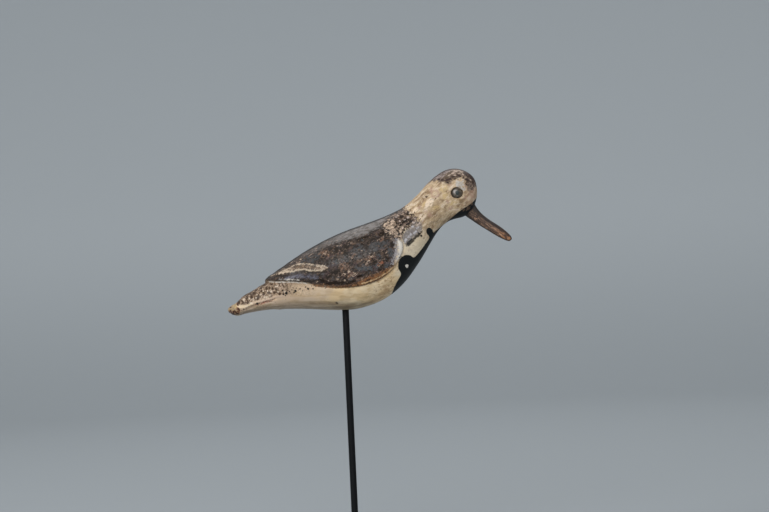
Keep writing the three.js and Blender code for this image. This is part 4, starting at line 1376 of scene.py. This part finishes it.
def bill_paint():
    """Dark paint on the bill's root and top, worn to streaked reddish wood towards the tip."""
    f = Finish("worn_bill_paint", -BILL_DROOP)
    streak = f.grain(1.1, 11, 5, rough=0.62, warp=0.2)
    fine = f.grain(1.3, 17, 2.2, rough=0.65, warp=0.4)
    around = f.mark("around")
    middle = f.step(around, -0.85, -0.5) * f.step(around, 0.3, -0.1)
    colour = f.coats(
        BILL_BROWN,
        (BILL_TAN, fine, 0.42, 0.58),
        (BILL_ORANGE, f.ragged("along", fine, 0.5), 0.55, 0.9, 0.85),
        (BILL_STREAK, streak, 0.5, 0.57, 0.85),
        (BILL_PALE, fine, 0.56, 0.63, middle, 0.7),
        (BILL_TOP, f.ragged("around", fine, 1.4), 0.1, 0.6, 0.85),
        (BILL_LOW, f.ragged("around", fine, 0.8), -0.6, -0.9, 0.85),
        (BILL_ROOT, f.ragged("along", fine, 0.4), 0.28, -0.04, 0.65),
        (BILL_END, f.ragged("along", fine, 0.06), 0.95, 0.99, 0.7),
    )
    return f.surface(colour, 0.34 + 0.25 * fine, f.bumped(streak, 0.15), Specular_IOR_Level=0.35)


def eye_glass():
    """A clouded iris with a painted highlight above and behind the pupil, darker ahead, in a worn rim."""
    f = Finish("dark_eye_glass")
    cloud = f.noise(1.2, 21, rough=0.6)
    ahead = f.step(f.ragged("behind", cloud, 1.2), -0.5, -1.4)
    colour = f.coats(
        IRIS,
        (IRIS_GREY, cloud, 0.42, 0.58),
        # Painted highlight on the iris.
        (IRIS_HIGHLIGHT, f.ragged("highlight", cloud, 1.2), 2.1, 1, 0.85),
        (IRIS_DARK, f.ragged("behind", cloud, 1.2), -0.5, -1.4, 0.6),
        (PUPIL_DARK, f.ragged("pupil", cloud, 1.4), 2.3, 1.4),
        (f.mix(ahead, EYE_RIM_DARK, EYE_RIM), f.ragged("radius", cloud, 1.8), 2.9, 3.7),
    )
    return f.surface(colour, 0.35 + 0.2 * cloud, Specular_IOR_Level=0.45)


def black_steel():
    f = Finish("satin_black_steel")
    fine = f.noise(0.6, 5, tall=8)
    colour = f.coats(STEEL, (STEEL_WORN, f.noise(2, 9, detail=4), 0.6, 0.75, 0.3))
    return f.surface(colour, 0.45 + 0.15 * fine, f.bumped(fine, 0.03), Specular_IOR_Level=0.18)


# The sweep that the stand rests on and the heights between which its tone turns.
SWEEP_RADIUS = 3200
SWEEP_BEND = 1300
SWEEP_HEIGHT = 3600
SWEEP_THICKNESS = 20
SWEEP_TURN = (350, -50)

# The lights, in metres: place, what it faces, width, depth and power.
BIRD_MIDDLE = (0, 0, 0.25)
LIGHTS = {
    "overhead_panel": ((0, 1.2, 2), (0, 1.2, 0), 2.4, 2.2, 29),
    "front_softbox": ((-0.2, -1.35, 0.85), BIRD_MIDDLE, 0.8, 0.6, 11.2),
    "left_softbox": ((-1.4, -1, 1.1), BIRD_MIDDLE, 0.6, 0.8, 14.4),
    "right_softbox": ((1.5, -0.7, 0.7), BIRD_MIDDLE, 0.5, 0.8, 3),
}
ROOM_LIGHT = (1, 0.99, 0.97, 1)
ROOM_STRENGTH = 0.25


def stage_paint():
    f = Finish("pale_sweep")
    height = f.node("ShaderNodeSeparateXYZ", None, {0: f.place}, "Z")
    return f.surface(f.coats(WALL_GREY, (FLOOR_GREY, height, *SWEEP_TURN)), 0.9)


def seamless_sweep():
    """A pale floor that curves up into a wall all round."""
    bend = arc(SWEEP_RADIUS - SWEEP_BEND, SWEEP_BEND, SWEEP_BEND, -90, 0, 24)
    outside = SWEEP_RADIUS + SWEEP_THICKNESS
    sweep = turned("pale_sweep", [
        (0, 0), (SWEEP_RADIUS / 4, 0), *bend, (SWEEP_RADIUS, SWEEP_HEIGHT),
        (outside, SWEEP_HEIGHT), (outside, -SWEEP_THICKNESS), (0, -SWEEP_THICKNESS),
    ])
    sweep.data.flip_normals()
    sweep.data.materials.append(stage_paint())


def studio_light():
    for name, (place, aim, width, depth, power) in LIGHTS.items():
        light = bpy.data.lights.new(name, "AREA")
        light.shape = "RECTANGLE"
        light.size = width
        light.size_y = depth
        light.energy = power
        lamp = bpy.data.objects.new(name, light)
        lamp.location = place
        lamp.rotation_euler = (Vector(aim) - Vector(place)).to_track_quat("-Z", "Y").to_euler()
        bpy.context.scene.collection.objects.link(lamp)
    world = bpy.data.worlds.new("studio")
    world.use_nodes = True
    room = world.node_tree.nodes["Background"].inputs
    room["Color"].default_value = ROOM_LIGHT
    room["Strength"].default_value = ROOM_STRENGTH
    bpy.context.scene.world = world
    bpy.context.scene.view_settings.view_transform = "Standard"


def fitted(piece, node, finish):
    """A finished piece rides on the bird's stand and stands for its solid."""
    piece.data.materials.append(finish)
    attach(piece, "root")
    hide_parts(node)


def decoy():
    points, marks = body_skin()
    faces = ring_faces(BODY_RINGS - 1, BODY_SIDES)
    bird = link("painted_bird", lifted(points), faces, marks)
    fitted(bird, "carved_body", bird_paint())
    tree = BVHTree.FromPolygons(points.tolist(), faces)
    bill_points, bill_marks = bill_skin(tree)
    bill = link("worn_bill", lifted(bill_points), ring_faces(BILL_RINGS, BILL_SIDES), bill_marks)
    fitted(bill, "bill", bill_paint())
    glass = eye_glass()
    fitted(glass_eye("right_glass_eye", -1), "right_eye", glass)
    fitted(glass_eye("left_glass_eye", 1), "left_eye", glass)
    steel = black_steel()
    fitted(steel_rod(), "rod", steel)
    fitted(steel_foot(), "foot", steel)


camera()
decoy()
seamless_sweep()
studio_light()
